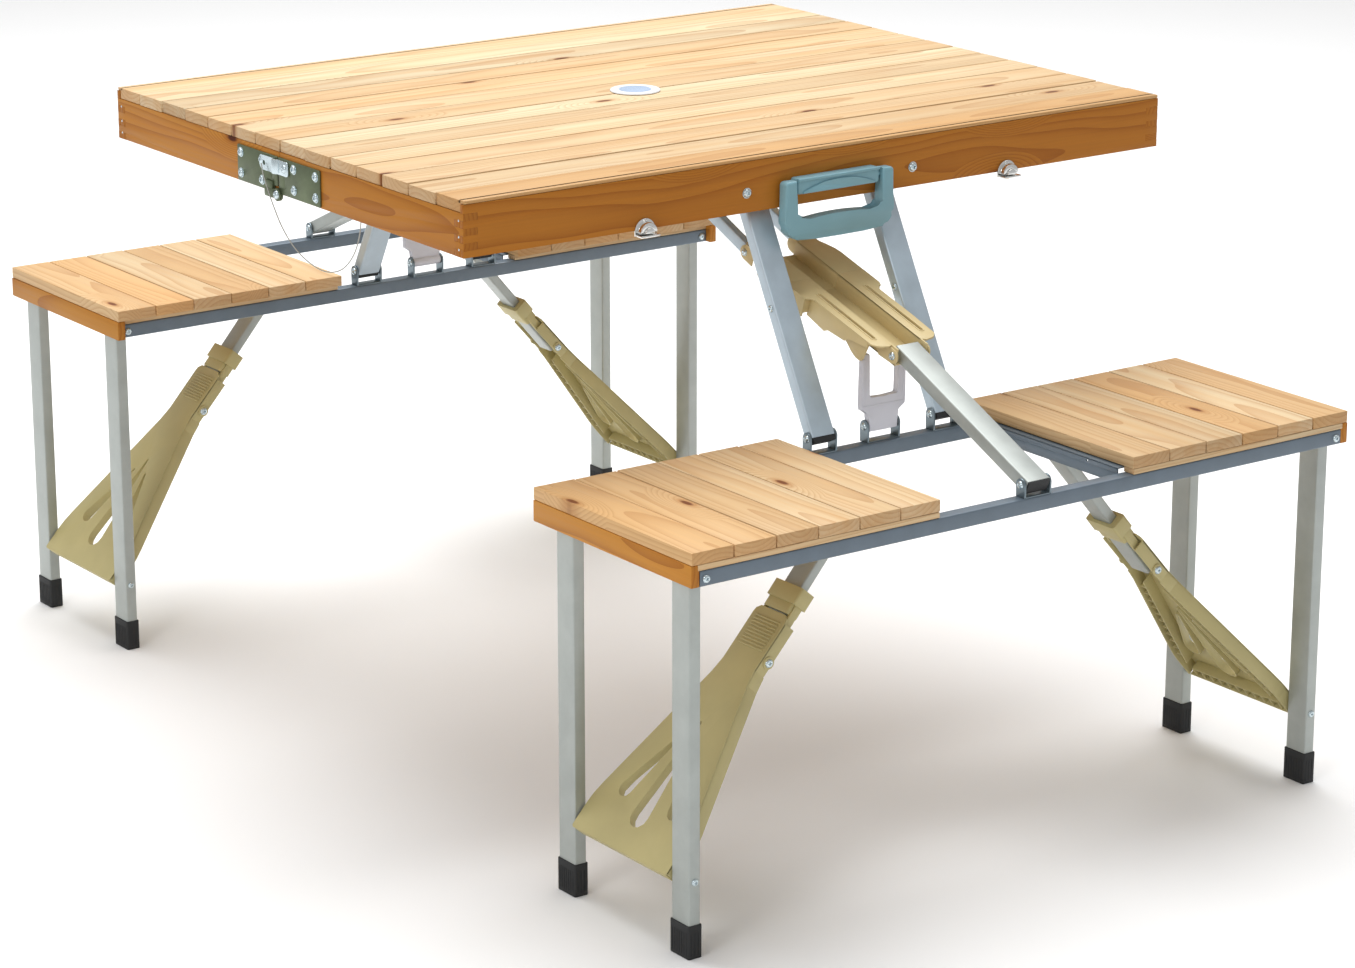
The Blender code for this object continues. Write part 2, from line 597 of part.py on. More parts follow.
def foot(side, end, out, name):
    """Rubber cup pushed over the end of a leg."""
    x = end * LEG_X
    half_x, half_y = LEG_DEPTH / 2, LEG_WIDTH / 2
    cup = box((x - half_x - FOOT_WALL, side * (out - half_y - FOOT_WALL), 0),
              (x + half_x + FOOT_WALL, side * (out + half_y + FOOT_WALL), FOOT_HEIGHT))
    socket = box((x - half_x - GAP, side * (out - half_y - 0.0001), FOOT_WALL),
                 (x + half_x + GAP, side * (out + half_y + 0.0001), FOOT_HEIGHT + 0.01))
    part(name, "rubber", (x, side * out, 0), [cup], [socket])


# ---------------------------------------------------------------- seat-leg braces
def brace_points(side, end):
    return [Vector((end * x, side * BRACE_OUT, z)) for x, z in (BRACE_TOP, BRACE_ELBOW, BRACE_PIN)]


def brace_tube(side, end, name):
    top, elbow, _ = brace_points(side, end)
    tube = flat_bar(top, elbow, Y_AXIS, 0.013, BRACE_TUBE_DEPTH / 2)
    part(name, "leg_tube", top, [tube], [pin_hole(point, Y_AXIS, 0.02) for point in (top, elbow)])


def brace_plate(side, end, name):
    """Plastic plate: broad between the legs, narrow at the elbow, with side flanges and slots."""
    _, elbow, foot_pin = brace_points(side, end)
    along = (foot_pin - elbow).normalized()
    upward = along.cross(Y_AXIS) * end
    sign = 1 if along.cross(Y_AXIS).dot(upward) > 0 else -1
    length = (foot_pin - elbow).length
    neck, wide = 0.0255, 0.0765
    neck_end, broad_start = 0.040, length - 0.045

    def shape(offset, first, last, low, high):
        edge = [(first, neck - offset), (neck_end, neck - offset), (broad_start, wide - offset),
                (last, wide - offset)]
        outline = edge + [(u, -v) for u, v in reversed(edge)]
        depths = sorted((sign * low, sign * high))
        return sheet(outline, elbow, along, Y_AXIS, *depths)

    body = shape(0, -0.014, length + 0.008, -0.0062, 0.0090)
    cavity = shape(0.002, -0.03, length + 0.006, -0.03, 0.0075)
    slots = []
    for start, spread in ((0.085, 0.0), (0.105, 0.030), (0.105, -0.030)):
        first = elbow + along * start + Y_AXIS * spread * 0.55
        last = elbow + along * (length - 0.040) + Y_AXIS * spread
        run = (last - first).normalized()
        slots.append(sheet(stadium((last - first).length, 0.007, 4), first, run,
                           upward.cross(run), -0.05, 0.05))
    elbow_pin = pin(elbow, Y_AXIS, neck - 0.001)
    shell = part("blank", "olive_plastic", (0, 0, 0), [body], [cavity, *slots])
    parts.objects.unlink(shell)
    cutters.objects.link(shell)
    part(name, "olive_plastic", elbow, [shell, elbow_pin])


# ---------------------------------------------------------------- assembly
clear_scene()
parts = new_collection("folding_picnic_table")
cutters = new_collection("cutters")
umbrella_cap()
handle_mount()
handle()
tether()
for hand, hand_name in ((-1, "left"), (1, "right")):
    lock_tab(hand, f"lock_tab_{hand_name}")
    latch(hand, f"latch_{hand_name}")
    latch_keeper(hand, f"latch_keeper_{hand_name}")
for leaf, leaf_name in ((-1, "front"), (1, "back")):
    table_top(leaf, f"table_top_{leaf_name}")
    table_rim(leaf, f"table_rim_{leaf_name}")
    pivot_plate(leaf, f"pivot_plate_{leaf_name}")
    strut_arms(leaf, f"strut_arms_{leaf_name}")
    bracket_upper(leaf, f"bracket_upper_{leaf_name}")
    bracket_lower(leaf, f"bracket_lower_{leaf_name}")
    lower_strut(leaf, f"lower_strut_{leaf_name}")
    link(leaf, f"link_{leaf_name}")
    bench_frame(leaf, f"bench_frame_{leaf_name}")
    for hand, hand_name in ((-1, "left"), (1, "right")):
        place = f"{leaf_name}_{hand_name}"
        hinge_leaf(leaf, hand, f"hinge_leaf_{place}")
        a_leg(leaf, hand, f"a_leg_{place}")
        seat(leaf, hand, f"seat_{place}")
        leg_frame(leaf, hand, f"leg_frame_{place}")
        foot(leaf, hand, LEG_INNER, f"foot_{place}_inner")
        foot(leaf, hand, LEG_OUTER, f"foot_{place}_outer")
        brace_tube(leaf, hand, f"brace_tube_{place}")
        brace_plate(leaf, hand, f"brace_plate_{place}")
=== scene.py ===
"""Looks of the folding picnic table: pine boards, painted rails, aluminium tubes and plastic fittings."""
import json
import math
import random

import bmesh
import bpy
from mathutils import Matrix, Vector


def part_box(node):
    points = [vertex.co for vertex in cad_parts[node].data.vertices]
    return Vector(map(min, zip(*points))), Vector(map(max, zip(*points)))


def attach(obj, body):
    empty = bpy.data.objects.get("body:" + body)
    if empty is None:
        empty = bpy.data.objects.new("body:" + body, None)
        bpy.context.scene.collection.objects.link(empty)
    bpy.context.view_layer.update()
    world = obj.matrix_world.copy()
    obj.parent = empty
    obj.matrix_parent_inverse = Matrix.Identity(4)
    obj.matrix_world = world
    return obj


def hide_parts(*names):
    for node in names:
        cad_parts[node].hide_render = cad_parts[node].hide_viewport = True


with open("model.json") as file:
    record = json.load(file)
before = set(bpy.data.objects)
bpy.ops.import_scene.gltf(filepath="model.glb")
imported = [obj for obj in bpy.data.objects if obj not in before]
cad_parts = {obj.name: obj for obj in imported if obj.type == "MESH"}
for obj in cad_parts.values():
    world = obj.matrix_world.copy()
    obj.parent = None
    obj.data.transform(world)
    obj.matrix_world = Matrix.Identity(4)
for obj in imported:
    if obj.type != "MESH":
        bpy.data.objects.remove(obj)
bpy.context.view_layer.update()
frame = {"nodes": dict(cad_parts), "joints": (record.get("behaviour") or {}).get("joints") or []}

JOINTS = {joint["name"]: joint for joint in frame["joints"]}
X, Y, Z = Vector((1, 0, 0)), Vector((0, 1, 0)), Vector((0, 0, 1))
LEAVES = ((-1, "front"), (1, "back"))
HANDS = ((-1, "left"), (1, "right"))
GAP = 0.0003
RIM_THICK = 0.016
chance = random.Random(11)


def pivot(joint):
    return Vector(JOINTS[joint]["pos_m"])


# ---------------------------------------------------------------- camera, light and floor
def stand_camera():
    lens = bpy.data.cameras.new("camera")
    lens.lens = 109.2
    lens.sensor_width = 36.0
    made = bpy.data.objects.new("camera", lens)
    made.location = (-2.4333, -3.4673, 1.5027)
    made.rotation_euler = (math.radians(90 - 16.72), 0, math.radians(-35.66))
    bpy.context.scene.collection.objects.link(made)
    bpy.context.scene.camera = made


def soft_light(name, place, size, power, tint=(1, 1, 1)):
    lamp = bpy.data.lights.new(name, "AREA")
    lamp.shape = "DISK"
    lamp.size = size
    lamp.energy = power
    lamp.color = tint
    made = bpy.data.objects.new(name, lamp)
    made.location = place
    made.rotation_euler = (Vector((0, 0, 0.4)) - Vector(place)).to_track_quat("-Z", "Y").to_euler()
    bpy.context.scene.collection.objects.link(made)


def light_studio():
    """White surroundings for the eye, softer ones for the light, and a broad lamp overhead."""
    world = bpy.data.worlds.new("studio")
    world.use_nodes = True
    nodes, links = world.node_tree.nodes, world.node_tree.links
    background = nodes["Background"]
    background.inputs["Color"].default_value = (1.0, 1.0, 1.0, 1.0)
    seen = nodes.new("ShaderNodeLightPath").outputs["Is Camera Ray"]
    strength = nodes.new("ShaderNodeMapRange")
    strength.inputs[3].default_value = 0.52
    strength.inputs[4].default_value = 1.0
    links.new(seen, strength.inputs[0])
    links.new(strength.outputs[0], background.inputs["Strength"])
    bpy.context.scene.world = world
    bpy.context.scene.view_settings.view_transform = "Standard"
    soft_light("overhead", (0.6, 1.2, 4.2), 4.5, 230)
    soft_light("key", (-3.6, -1.6, 2.6), 1.6, 30)


# ---------------------------------------------------------------- mesh building
class Piece:
    """One visible piece, put together from closed shapes."""

    def __init__(self, name, body, look, slot):
        self.name, self.body, self.look, self.slot = name, body, look, slot
        self.points, self.faces, self.grain, self.tone, self.ends = [], [], [], [], []

    def add(self, shape, place=None, grain=None, tone=(0, 0, 0, 0)):
        """Takes in a bmesh, moved by place. Wood gives grain, a function from a point to grain space."""
        first = len(self.points)
        place = place or Matrix.Identity(4)
        turn = place.to_3x3()
        points = [place @ corner.co for corner in shape.verts]
        self.points += points
        self.grain += [grain(point) if grain else point for point in points]
        self.tone += [tone] * len(points)
        shape.verts.index_update()
        for face in shape.faces:
            loop = [first + corner.index for corner in face.verts]
            self.faces.append(loop if turn.determinant() > 0 else loop[::-1])
            along = grain(turn @ face.normal, True) if grain else 0.0
            self.ends += [1.0 if along > 0.8 else 0.0] * len(loop)
        shape.free()
        return self

    def finish(self, *nodes, sharp=35):
        mesh = bpy.data.meshes.new(self.name)
        mesh.from_pydata(self.points, [], self.faces)
        for title, kind, domain, values in (
                ("grain", "FLOAT_VECTOR", "POINT", self.grain), ("tone", "FLOAT_COLOR", "POINT", self.tone),
                ("end_grain", "FLOAT", "CORNER", [(end,) for end in self.ends])):
            layer = mesh.attributes.new(title, kind, domain)
            flat = [number for value in values for number in value]
            field = {"FLOAT_VECTOR": "vector", "FLOAT_COLOR": "color"}.get(kind, "value")
            layer.data.foreach_set(field, flat)
        mesh.materials.append(self.look)
        mesh.shade_smooth()
        mesh.set_sharp_from_angle(angle=math.radians(sharp))
        made = bpy.data.objects.new(self.name, mesh)
        bpy.context.scene.collection.objects.link(made)
        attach(made, self.body)
        if nodes:
            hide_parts(*nodes)
        return made


def axes(origin, x, z):
    """Places a shape so that its own x runs along x, as nearly as it can, and its own z along z."""
    z = Vector(z).normalized()
    x = Vector(x)
    x = (x - z * x.dot(z)).normalized()
    return Matrix.Translation(origin) @ Matrix((x, z.cross(x), z)).transposed().to_4x4()


def bevelled(shape, edges, width, segments=2):
    if width > 0:
        bmesh.ops.bevel(shape, geom=list(edges), offset=width, segments=segments, profile=0.5,
                        affect="EDGES", clamp_overlap=True)
    bmesh.ops.recalc_face_normals(shape, faces=shape.faces)
    return shape


def block(low, high, bevel=0.0005, segments=2):
    shape = bmesh.new()
    bmesh.ops.create_cube(shape, size=1)
    low, high = ([fit(a, b) for a, b in zip(low, high)] for fit in (min, max))
    for corner in shape.verts:
        corner.co = [a if value < 0 else b for a, b, value in zip(low, high, corner.co)]
    return bevelled(shape, shape.edges, bevel, segments)


def prism(outline, low, high, bevel=0.0, holes=(), segments=2):
    """Flat outline in x and y, made solid from z = low to z = high, with its rims rounded."""
    shape = bmesh.new()
    low, high = min(low, high), max(low, high)
    caps, rims = [], []
    for z in (low, high):
        rings = [[shape.verts.new((x, y, z)) for x, y in ring] for ring in (outline, *holes)]
        edges = [shape.edges.new((a, b)) for ring in rings for a, b in zip(ring, ring[1:] + ring[:1])]
        caps.append(rings)
        rims += edges
        if holes:
            bmesh.ops.triangle_fill(shape, use_beauty=True, edges=edges)
        else:
            shape.faces.new(rings[0])
    for lower, upper in zip(*caps):
        for index in range(len(lower)):
            after = (index + 1) % len(lower)
            shape.faces.new((lower[index], lower[after], upper[after], upper[index]))
    return bevelled(shape, rims, bevel, segments)


def lathe(profile, segments=28):
    """Profile of (radius, z) points turned about z; it starts and ends on the axis."""
    shape = bmesh.new()
    rings = []
    for radius, z in profile:
        if radius < 1e-6:
            rings.append([shape.verts.new((0, 0, z))])
        else:
            rings.append([shape.verts.new((radius * math.cos(turn), radius * math.sin(turn), z))
                          for turn in (math.tau * step / segments for step in range(segments))])
    for lower, upper in zip(rings, rings[1:]):
        for index in range(segments):
            after = (index + 1) % segments
            corners = [lower[index % len(lower)], lower[after % len(lower)],
                       upper[after % len(upper)], upper[index % len(upper)]]
            corners = [corner for place, corner in enumerate(corners) if corner not in corners[:place]]
            if len(corners) > 2:
                shape.faces.new(corners)
    bmesh.ops.recalc_face_normals(shape, faces=shape.faces)
    return shape


def arc(centre, radius, start, stop, steps=6):
    """Points on an arc, with its angles in degrees."""
    return [(centre[0] + radius * math.cos(math.radians(start + (stop - start) * step / steps)),
             centre[1] + radius * math.sin(math.radians(start + (stop - start) * step / steps)))
            for step in range(steps + 1)]


def rounded(low, high, radius, steps=4):
    """Rectangle with round corners."""
    (x0, y0), (x1, y1) = low, high
    return (arc((x1 - radius, y0 + radius), radius, -90, 0, steps)
            + arc((x1 - radius, y1 - radius), radius, 0, 90, steps)
            + arc((x0 + radius, y1 - radius), radius, 90, 180, steps)
            + arc((x0 + radius, y0 + radius), radius, 180, 270, steps))


def slot_outline(start, stop, radius, steps=6, last=None):
    """Slot with round ends; with last it widens from radius at start to last at stop."""
    start, stop = Vector(start), Vector(stop)
    last = last or radius
    turn = math.degrees(math.atan2(stop.y - start.y, stop.x - start.x))
    lean = math.degrees(math.asin((last - radius) / (stop - start).length))
    return (arc(stop, last, turn - 90 - lean, turn + 90 + lean, steps)
            + arc(start, radius, turn + 90 + lean, turn + 270 - lean, steps))


def tube(half_x, half_y, length, wall=0.0012, radius=0.0018, start=0.0):
    """Open-ended tube with a rounded rectangular section, along z."""
    outer = rounded((-half_x, -half_y), (half_x, half_y), radius)
    inner = rounded((wall - half_x, wall - half_y), (half_x - wall, half_y - wall), radius - wall * 0.6)
    return prism(outer, start, length, 0.0002, [inner], 1)


def pan_screw(radius):
    """Domed screw head with a cross recess, standing on z = 0."""
    height, flat = radius * 0.55, radius * 0.66
    cross, slit, depth = radius * 0.46, radius * 0.13, radius * 0.32
    shape = bmesh.new()
    count = 24
    rings = []
    for reach, z in ((radius, 0), (radius, height * 0.3), (radius * 0.88, height * 0.75), (flat, height)):
        rings.append([shape.verts.new((reach * math.cos(math.tau * step / count),
                                       reach * math.sin(math.tau * step / count), z))
                      for step in range(count)])
    outline = [(cross, -slit), (cross, slit), (slit, slit), (slit, cross), (-slit, cross), (-slit, slit),
               (-cross, slit), (-cross, -slit), (-slit, -slit), (-slit, -cross), (slit, -cross),
               (slit, -slit)]
    top = [shape.verts.new((x, y, height)) for x, y in outline]
    floor = [shape.verts.new((x * 0.8, y * 0.8, height - depth)) for x, y in outline]
    for lower, upper in [*zip(rings, rings[1:]), (floor, top)]:
        for index in range(len(lower)):
            after = (index + 1) % len(lower)
            shape.faces.new((lower[index], lower[after], upper[after], upper[index]))
    shape.faces.new(rings[0][::-1])
    shape.faces.new(floor)
    edges = [shape.edges.get((a, b)) for ring in (rings[-1], top) for a, b in zip(ring, ring[1:] + ring[:1])]
    bmesh.ops.triangle_fill(shape, use_beauty=True, edges=edges)
    bmesh.ops.recalc_face_normals(shape, faces=shape.faces)
    return shape


def rivet(radius):
    """Domed rivet head with a dimple, standing on z = 0."""
    dome = [(radius * math.cos(math.radians(turn)), radius * 0.62 * math.sin(math.radians(turn)))
            for turn in (0, 18, 36, 54, 68)]
    return lathe([(0, 0), *dome, (radius * 0.26, radius * 0.5), (0, radius * 0.42)], 24)


# ---------------------------------------------------------------- materials
class Look:
    """A material and short ways to wire its nodes."""

    def __init__(self, name, roughness=0.5, metallic=0.0, **settings):
        self.material = bpy.data.materials.new(name)
        self.material.use_nodes = True
        self.tree = self.material.node_tree
        self.shader = self.tree.nodes["Principled BSDF"]
        self.set("Roughness", roughness)
        self.set("Metallic", metallic)
        for title, value in settings.items():
            self.set(title.replace("_", " "), value)
        coordinate = self.tree.nodes.new("ShaderNodeTexCoord")
        self.place = coordinate.outputs["Object"]

    def set(self, title, value):
        self.feed(self.shader.inputs[title], value)

    def feed(self, socket, value):
        if isinstance(value, bpy.types.NodeSocket):
            self.tree.links.new(value, socket)
        elif value is not None:
            socket.default_value = value

    def node(self, kind, values, output=0, **settings):
        made = self.tree.nodes.new("ShaderNode" + kind)
        for title, value in settings.items():
            setattr(made, title, value)
        for title, value in values.items():
            self.feed(made.inputs[title], value)
        return made.outputs[output]

    def maths(self, operation, *values):
        return self.node("Math", dict(enumerate(values)), operation=operation)

    def scaled(self, vector, factors):
        return self.node("VectorMath", {0: vector, 1: factors}, operation="MULTIPLY")

    def noise(self, vector, scale, detail=3.0, roughness=0.55):
        return self.node("TexNoise", {"Vector": vector, "Scale": scale, "Detail": detail,
                                      "Roughness": roughness})

    def span(self, value, low, high, to_low=0.0, to_high=1.0):
        return self.node("MapRange", {0: value, 1: low, 2: high, 3: to_low, 4: to_high})

    def mix(self, share, first, second, blend="MIX"):
        return self.node("Mix", {0: share, 6: first, 7: second}, 2, data_type="RGBA", blend_type=blend)

    def bump(self, height, distance, strength=1.0):
        self.set("Normal", self.node("Bump", {"Height": height, "Distance": distance, "Strength": strength}))


def wood(name, pale, warm, deep, line, knot, ring_share=0.5):
    """Lacquered pine: growth rings in grain space, knots that the rings flow round, and fine fibres."""
    look = Look(name, Coat_Weight=0.06, Coat_Roughness=0.3, Specular_IOR_Level=0.12)
    grain = look.node("Attribute", {}, 1, attribute_name="grain")
    tone = look.node("Attribute", {}, 0, attribute_name="tone")
    hue = look.node("SeparateColor", {0: tone}, 0)
    shade = look.node("SeparateColor", {0: tone}, 1)
    end = look.node("Attribute", {}, 2, attribute_name="end_grain")

    cells = look.scaled(grain, (5.5, 15.0, 1.0))
    spot = look.node("TexVoronoi", {"Vector": cells, "Scale": 1.0, "Randomness": 0.8}, 0,
                     voronoi_dimensions="2D")
    cell_colour = look.node("TexVoronoi", {"Vector": cells, "Scale": 1.0, "Randomness": 0.8}, 1,
                            voronoi_dimensions="2D")
    chosen = look.span(look.node("SeparateColor", {0: cell_colour}, 0), 0.62, 0.64)
    swell = look.maths("MULTIPLY", look.span(spot, 0.0, 0.34, 1.0, 0.0), chosen)
    core = look.maths("MULTIPLY", look.span(spot, 0.035, 0.060, 1.0, 0.0), chosen)
    halo = look.maths("MULTIPLY", look.span(spot, 0.045, 0.125, 1.0, 0.0), chosen)

    wander = look.noise(look.scaled(grain, (2.2, 9.0, 9.0)), 1.0, 2.0)
    swirl = look.maths("MULTIPLY_ADD", wander, 0.030, look.maths("MULTIPLY", swell, 0.035))
    across = look.node("SeparateXYZ", {0: grain}, 1)
    depth = look.node("SeparateXYZ", {0: grain}, 2)
    reach = look.maths("SQRT", look.maths("ADD", look.maths("POWER", across, 2.0),
                                          look.maths("POWER", depth, 2.0)))
    rings = look.maths("FRACT", look.maths("MULTIPLY", look.maths("ADD", reach, swirl), 210.0))
    late = look.maths("POWER", rings, 2.6)

    fibre = look.noise(look.scaled(grain, (9.0, 420.0, 420.0)), 1.0, 3.0, 0.6)
    streak = look.noise(look.scaled(grain, (1.4, 46.0, 46.0)), 1.0, 3.0, 0.55)
    cloud = look.noise(look.scaled(grain, (5.0, 16.0, 16.0)), 1.0, 2.0)

    base = look.mix(hue, (*pale, 1), (*warm, 1))
    base = look.mix(look.span(streak, 0.40, 0.72, 0.0, 0.75), base, (*deep, 1))
    base = look.mix(look.span(cloud, 0.50, 0.80, 0.0, 0.45), base, (*warm, 1))
    base = look.mix(look.maths("MULTIPLY", late, ring_share), base, (*line, 1))
    base = look.mix(look.maths("MULTIPLY", halo, 0.7), base, (*line, 1))
    base = look.mix(look.maths("MULTIPLY", core, 0.92), base, (*knot, 1))
    base = look.mix(look.maths("MULTIPLY", end, 0.28), base, (*line, 1))
    tint = look.span(look.maths("MULTIPLY_ADD", fibre, 0.5, look.maths("MULTIPLY", shade, 0.5)),
                     0.2, 0.8, 0.84, 1.08)
    base = look.node("VectorMath", {0: base, 1: tint}, operation="MULTIPLY")
    look.set("Base Color", base)
    look.set("Roughness", look.span(fibre, 0.3, 0.7, 0.40, 0.58))
    height = look.maths("ADD", look.maths("MULTIPLY", fibre, 0.6), look.maths("MULTIPLY", late, -0.5))
    look.bump(height, 0.00025, 0.7)
    return look.material


def metal(name, colour, roughness, metallic, brush=0.10, coat=0.0, mottle=0.05):
    """Painted, anodised or plated metal with a faint drawn texture, specks and duller patches."""
    look = Look(name, metallic=metallic, Coat_Weight=coat, Coat_Roughness=0.2)
    patch = look.noise(look.place, 35.0, 4.0)
    speck = look.noise(look.place, 900.0, 2.0)
    dark = tuple(value * (1 - mottle * 2) for value in colour)
    light = tuple(min(1.0, value * (1 + mottle)) for value in colour)
    look.set("Base Color", look.mix(look.span(patch, 0.3, 0.7), (*dark, 1), (*light, 1)))
    look.set("Roughness", look.span(look.maths("ADD", patch, look.maths("MULTIPLY", speck, 0.6)),
                                    0.5, 1.1, roughness - brush / 2, roughness + brush / 2))
    look.bump(speck, 0.00006, 0.5)
    return look.material


def plastic(name, colour, roughness=0.45, pebble=0.00008, mottle=0.04):
    """Moulded plastic with a fine spark-eroded grain and a faint flow of tone."""
    look = Look(name, Specular_IOR_Level=0.45)
    flow = look.noise(look.place, 18.0, 3.0)
    grit = look.noise(look.place, 1400.0, 2.0)
    dark = tuple(value * (1 - mottle * 1.6) for value in colour)
    light = tuple(min(1.0, value * (1 + mottle)) for value in colour)
    look.set("Base Color", look.mix(look.span(flow, 0.3, 0.7), (*dark, 1), (*light, 1)))
    look.set("Roughness", look.span(grit, 0.3, 0.7, roughness - 0.06, roughness + 0.08))
    look.bump(grit, pebble, 0.6)
    return look.material


LOOKS = {
    "pine": wood("pine", (0.70, 0.575, 0.375), (0.66, 0.39, 0.165), (0.62, 0.39, 0.185), (0.42, 0.185, 0.056),
                 (0.15, 0.040, 0.012), 0.46),
    "pine_rim": wood("pine_rim", (0.56, 0.255, 0.045), (0.47, 0.165, 0.018), (0.50, 0.19, 0.024),
                     (0.27, 0.070, 0.007), (0.06, 0.010, 0.004), 0.55),
    "aluminium": metal("aluminium", (0.50, 0.60, 0.68), 0.40, 0.5),
    "leg_tube": metal("leg_tube", (0.42, 0.45, 0.43), 0.42, 0.4),
    "rail_steel": metal("rail_steel", (0.13, 0.17, 0.21), 0.42, 0.25, coat=0.2),
    "zinc": metal("zinc", (0.125, 0.155, 0.085), 0.36, 0.45, mottle=0.15),
    "bright_zinc": metal("bright_zinc", (0.62, 0.72, 0.76), 0.26, 0.9),
    "clevis_steel": metal("clevis_steel", (0.20, 0.25, 0.28), 0.34, 0.75),
    "cap_blue": plastic("cap_blue", (0.36, 0.46, 0.62), 0.3),
    "chrome": metal("chrome", (0.82, 0.82, 0.80), 0.14, 1.0, brush=0.06),
    "wire": metal("wire", (0.40, 0.39, 0.35), 0.4, 0.3),
    "olive_plastic": plastic("olive_plastic", (0.52, 0.45, 0.21)),
    "tan_plastic": plastic("tan_plastic", (0.66, 0.53, 0.27)),
    "grey_plastic": plastic("grey_plastic", (0.66, 0.66, 0.72)),
    "teal_plastic": plastic("teal_plastic", (0.20, 0.385, 0.45), 0.42),
    "white_plastic": plastic("white_plastic", (0.80, 0.81, 0.84), 0.35),
    "rubber": plastic("rubber", (0.018, 0.019, 0.020), 0.62, 0.00015),
}


def piece(name, body, slot, look=None):
    return Piece(name, body, LOOKS[look or slot], slot)


# ---------------------------------------------------------------- the tether
TETHER_DIAMETER = 0.0012
TETHER_ROUTE = [(-0.4369, 0.0240, 0.6335), (-0.4376, 0.0200, 0.6240), (-0.4380, 0.0110, 0.6100),
                (-0.4376, 0.0000, 0.5930), (-0.4350, -0.0110, 0.5740), (-0.4300, -0.0250, 0.5560),
                (-0.4235, -0.0430, 0.5430), (-0.4175, -0.0640, 0.5375), (-0.4125, -0.0850, 0.5430),
                (-0.4095, -0.1020, 0.5590), (-0.4085, -0.1130, 0.5800), (-0.4085, -0.1180, 0.6020),
                (-0.4087, -0.1190, 0.6200)]


def smooth_route(points, spacing):
    """Evenly spaced points on a Catmull-Rom curve through the route's own points."""
    knots = [Vector(point) for point in points]
    knots = [knots[0] * 2 - knots[1], *knots, knots[-1] * 2 - knots[-2]]
    fine = []
    for a, b, c, d in zip(knots, knots[1:], knots[2:], knots[3:]):
        for step in range(12):
            t = step / 12
            fine.append(0.5 * (2 * b + (c - a) * t + (2 * a - 5 * b + 4 * c - d) * t * t
                               + (3 * b - a - 3 * c + d) * t ** 3))
    fine.append(knots[-2])
    kept = [fine[0]]
    for point in fine[1:]:
        if (point - kept[-1]).length >= spacing:
            kept.append(point)
    kept[-1] = fine[-1]
    return kept


def wire_curve(name, points, diameter, body):
    curve = bpy.data.curves.new(name, "CURVE")
    curve.dimensions = "3D"
    curve.bevel_depth = diameter / 2
    curve.bevel_resolution = 3
    curve.use_fill_caps = True
    spline = curve.splines.new("POLY")
    spline.points.add(len(points) - 1)
    for point, place in zip(spline.points, points):
        point.co = (*place, 1.0)
    curve.materials.append(LOOKS["wire"])
    made = bpy.data.objects.new(name, curve)
    bpy.context.scene.collection.objects.link(made)
    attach(made, body)
    return made


def make_tether():
    route = smooth_route(TETHER_ROUTE, 2 * TETHER_DIAMETER)
    cord = wire_curve("tether_wire", route, TETHER_DIAMETER, "table_front")
    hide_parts("tether")
    end = Vector(TETHER_ROUTE[-1])
    inner_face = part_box("table_rim_front")[0].x + RIM_THICK
    eyelet = piece("tether_eyelet", "table_front", "bright_zinc")
    shank = inner_face + 0.0002 - (end.x - 0.0012)
    eyelet.add(lathe([(0, -shank / 2), (0.0016, -shank / 2), (0.0016, shank / 2), (0, shank / 2)], 16),
               axes(end + Vector((shank / 2 - 0.0012 * 1.2, 0, 0.0008)), Z, X))
    eyelet = eyelet.finish()


# ---------------------------------------------------------------- sizes shared by boards and metalwork
RAIL, RAIL_TOP = 0.015, 0.379
RAIL_INNER, RAIL_OUTER = 0.4215, 0.6515
LEG_HALF_X, LEG_HALF_Y = 0.0065, 0.0136
LEG_INNER, LEG_OUTER = 0.4443, 0.6287
LEG_BOLT_Z = 0.075
A_LEG_X, ARM_X = 0.077, 0.0323
CLEVIS_Z = 0.395
FLAT_HALF = 0.007
SHEET = 0.002


# ---------------------------------------------------------------- boards
PLANKS_PER_LEAF, PLANKS_PER_SEAT, BOARD = 7, 6, 0.012
HOLE_RADIUS = 0.0225
FINGERS = 6                              # finger joints at each corner of the rim


def board_grain(low, high, along, flat):
    """Function from a point to grain space: x along the board, y across it, z through it."""
    across = 3 - along - flat
    middle = [(a + b) / 2 for a, b in zip(low, high)]
    shift = chance.uniform(-4, 4)
    side = chance.uniform(-0.020, 0.020)
    deep = chance.uniform(0.018, 0.06) * chance.choice((-1, 1))
    chance.uniform(0, 9)                 # a spare draw: every later board's pattern counts on it

    def grain(point, is_normal=False):
        if is_normal:
            return abs(point[along])
        return (point[along] - middle[along] + shift, point[across] - middle[across] + side,
                point[flat] - middle[flat] + deep)

    return grain


def board_tone(mean, spread):
    return (min(1.0, max(0.0, chance.gauss(mean, spread))), chance.random(), chance.random(), 1.0)


RIM_COVER, RIM_SKIN = 0.6562, 0.005      # the long rim's outer skin rises over the edge plank's lower part


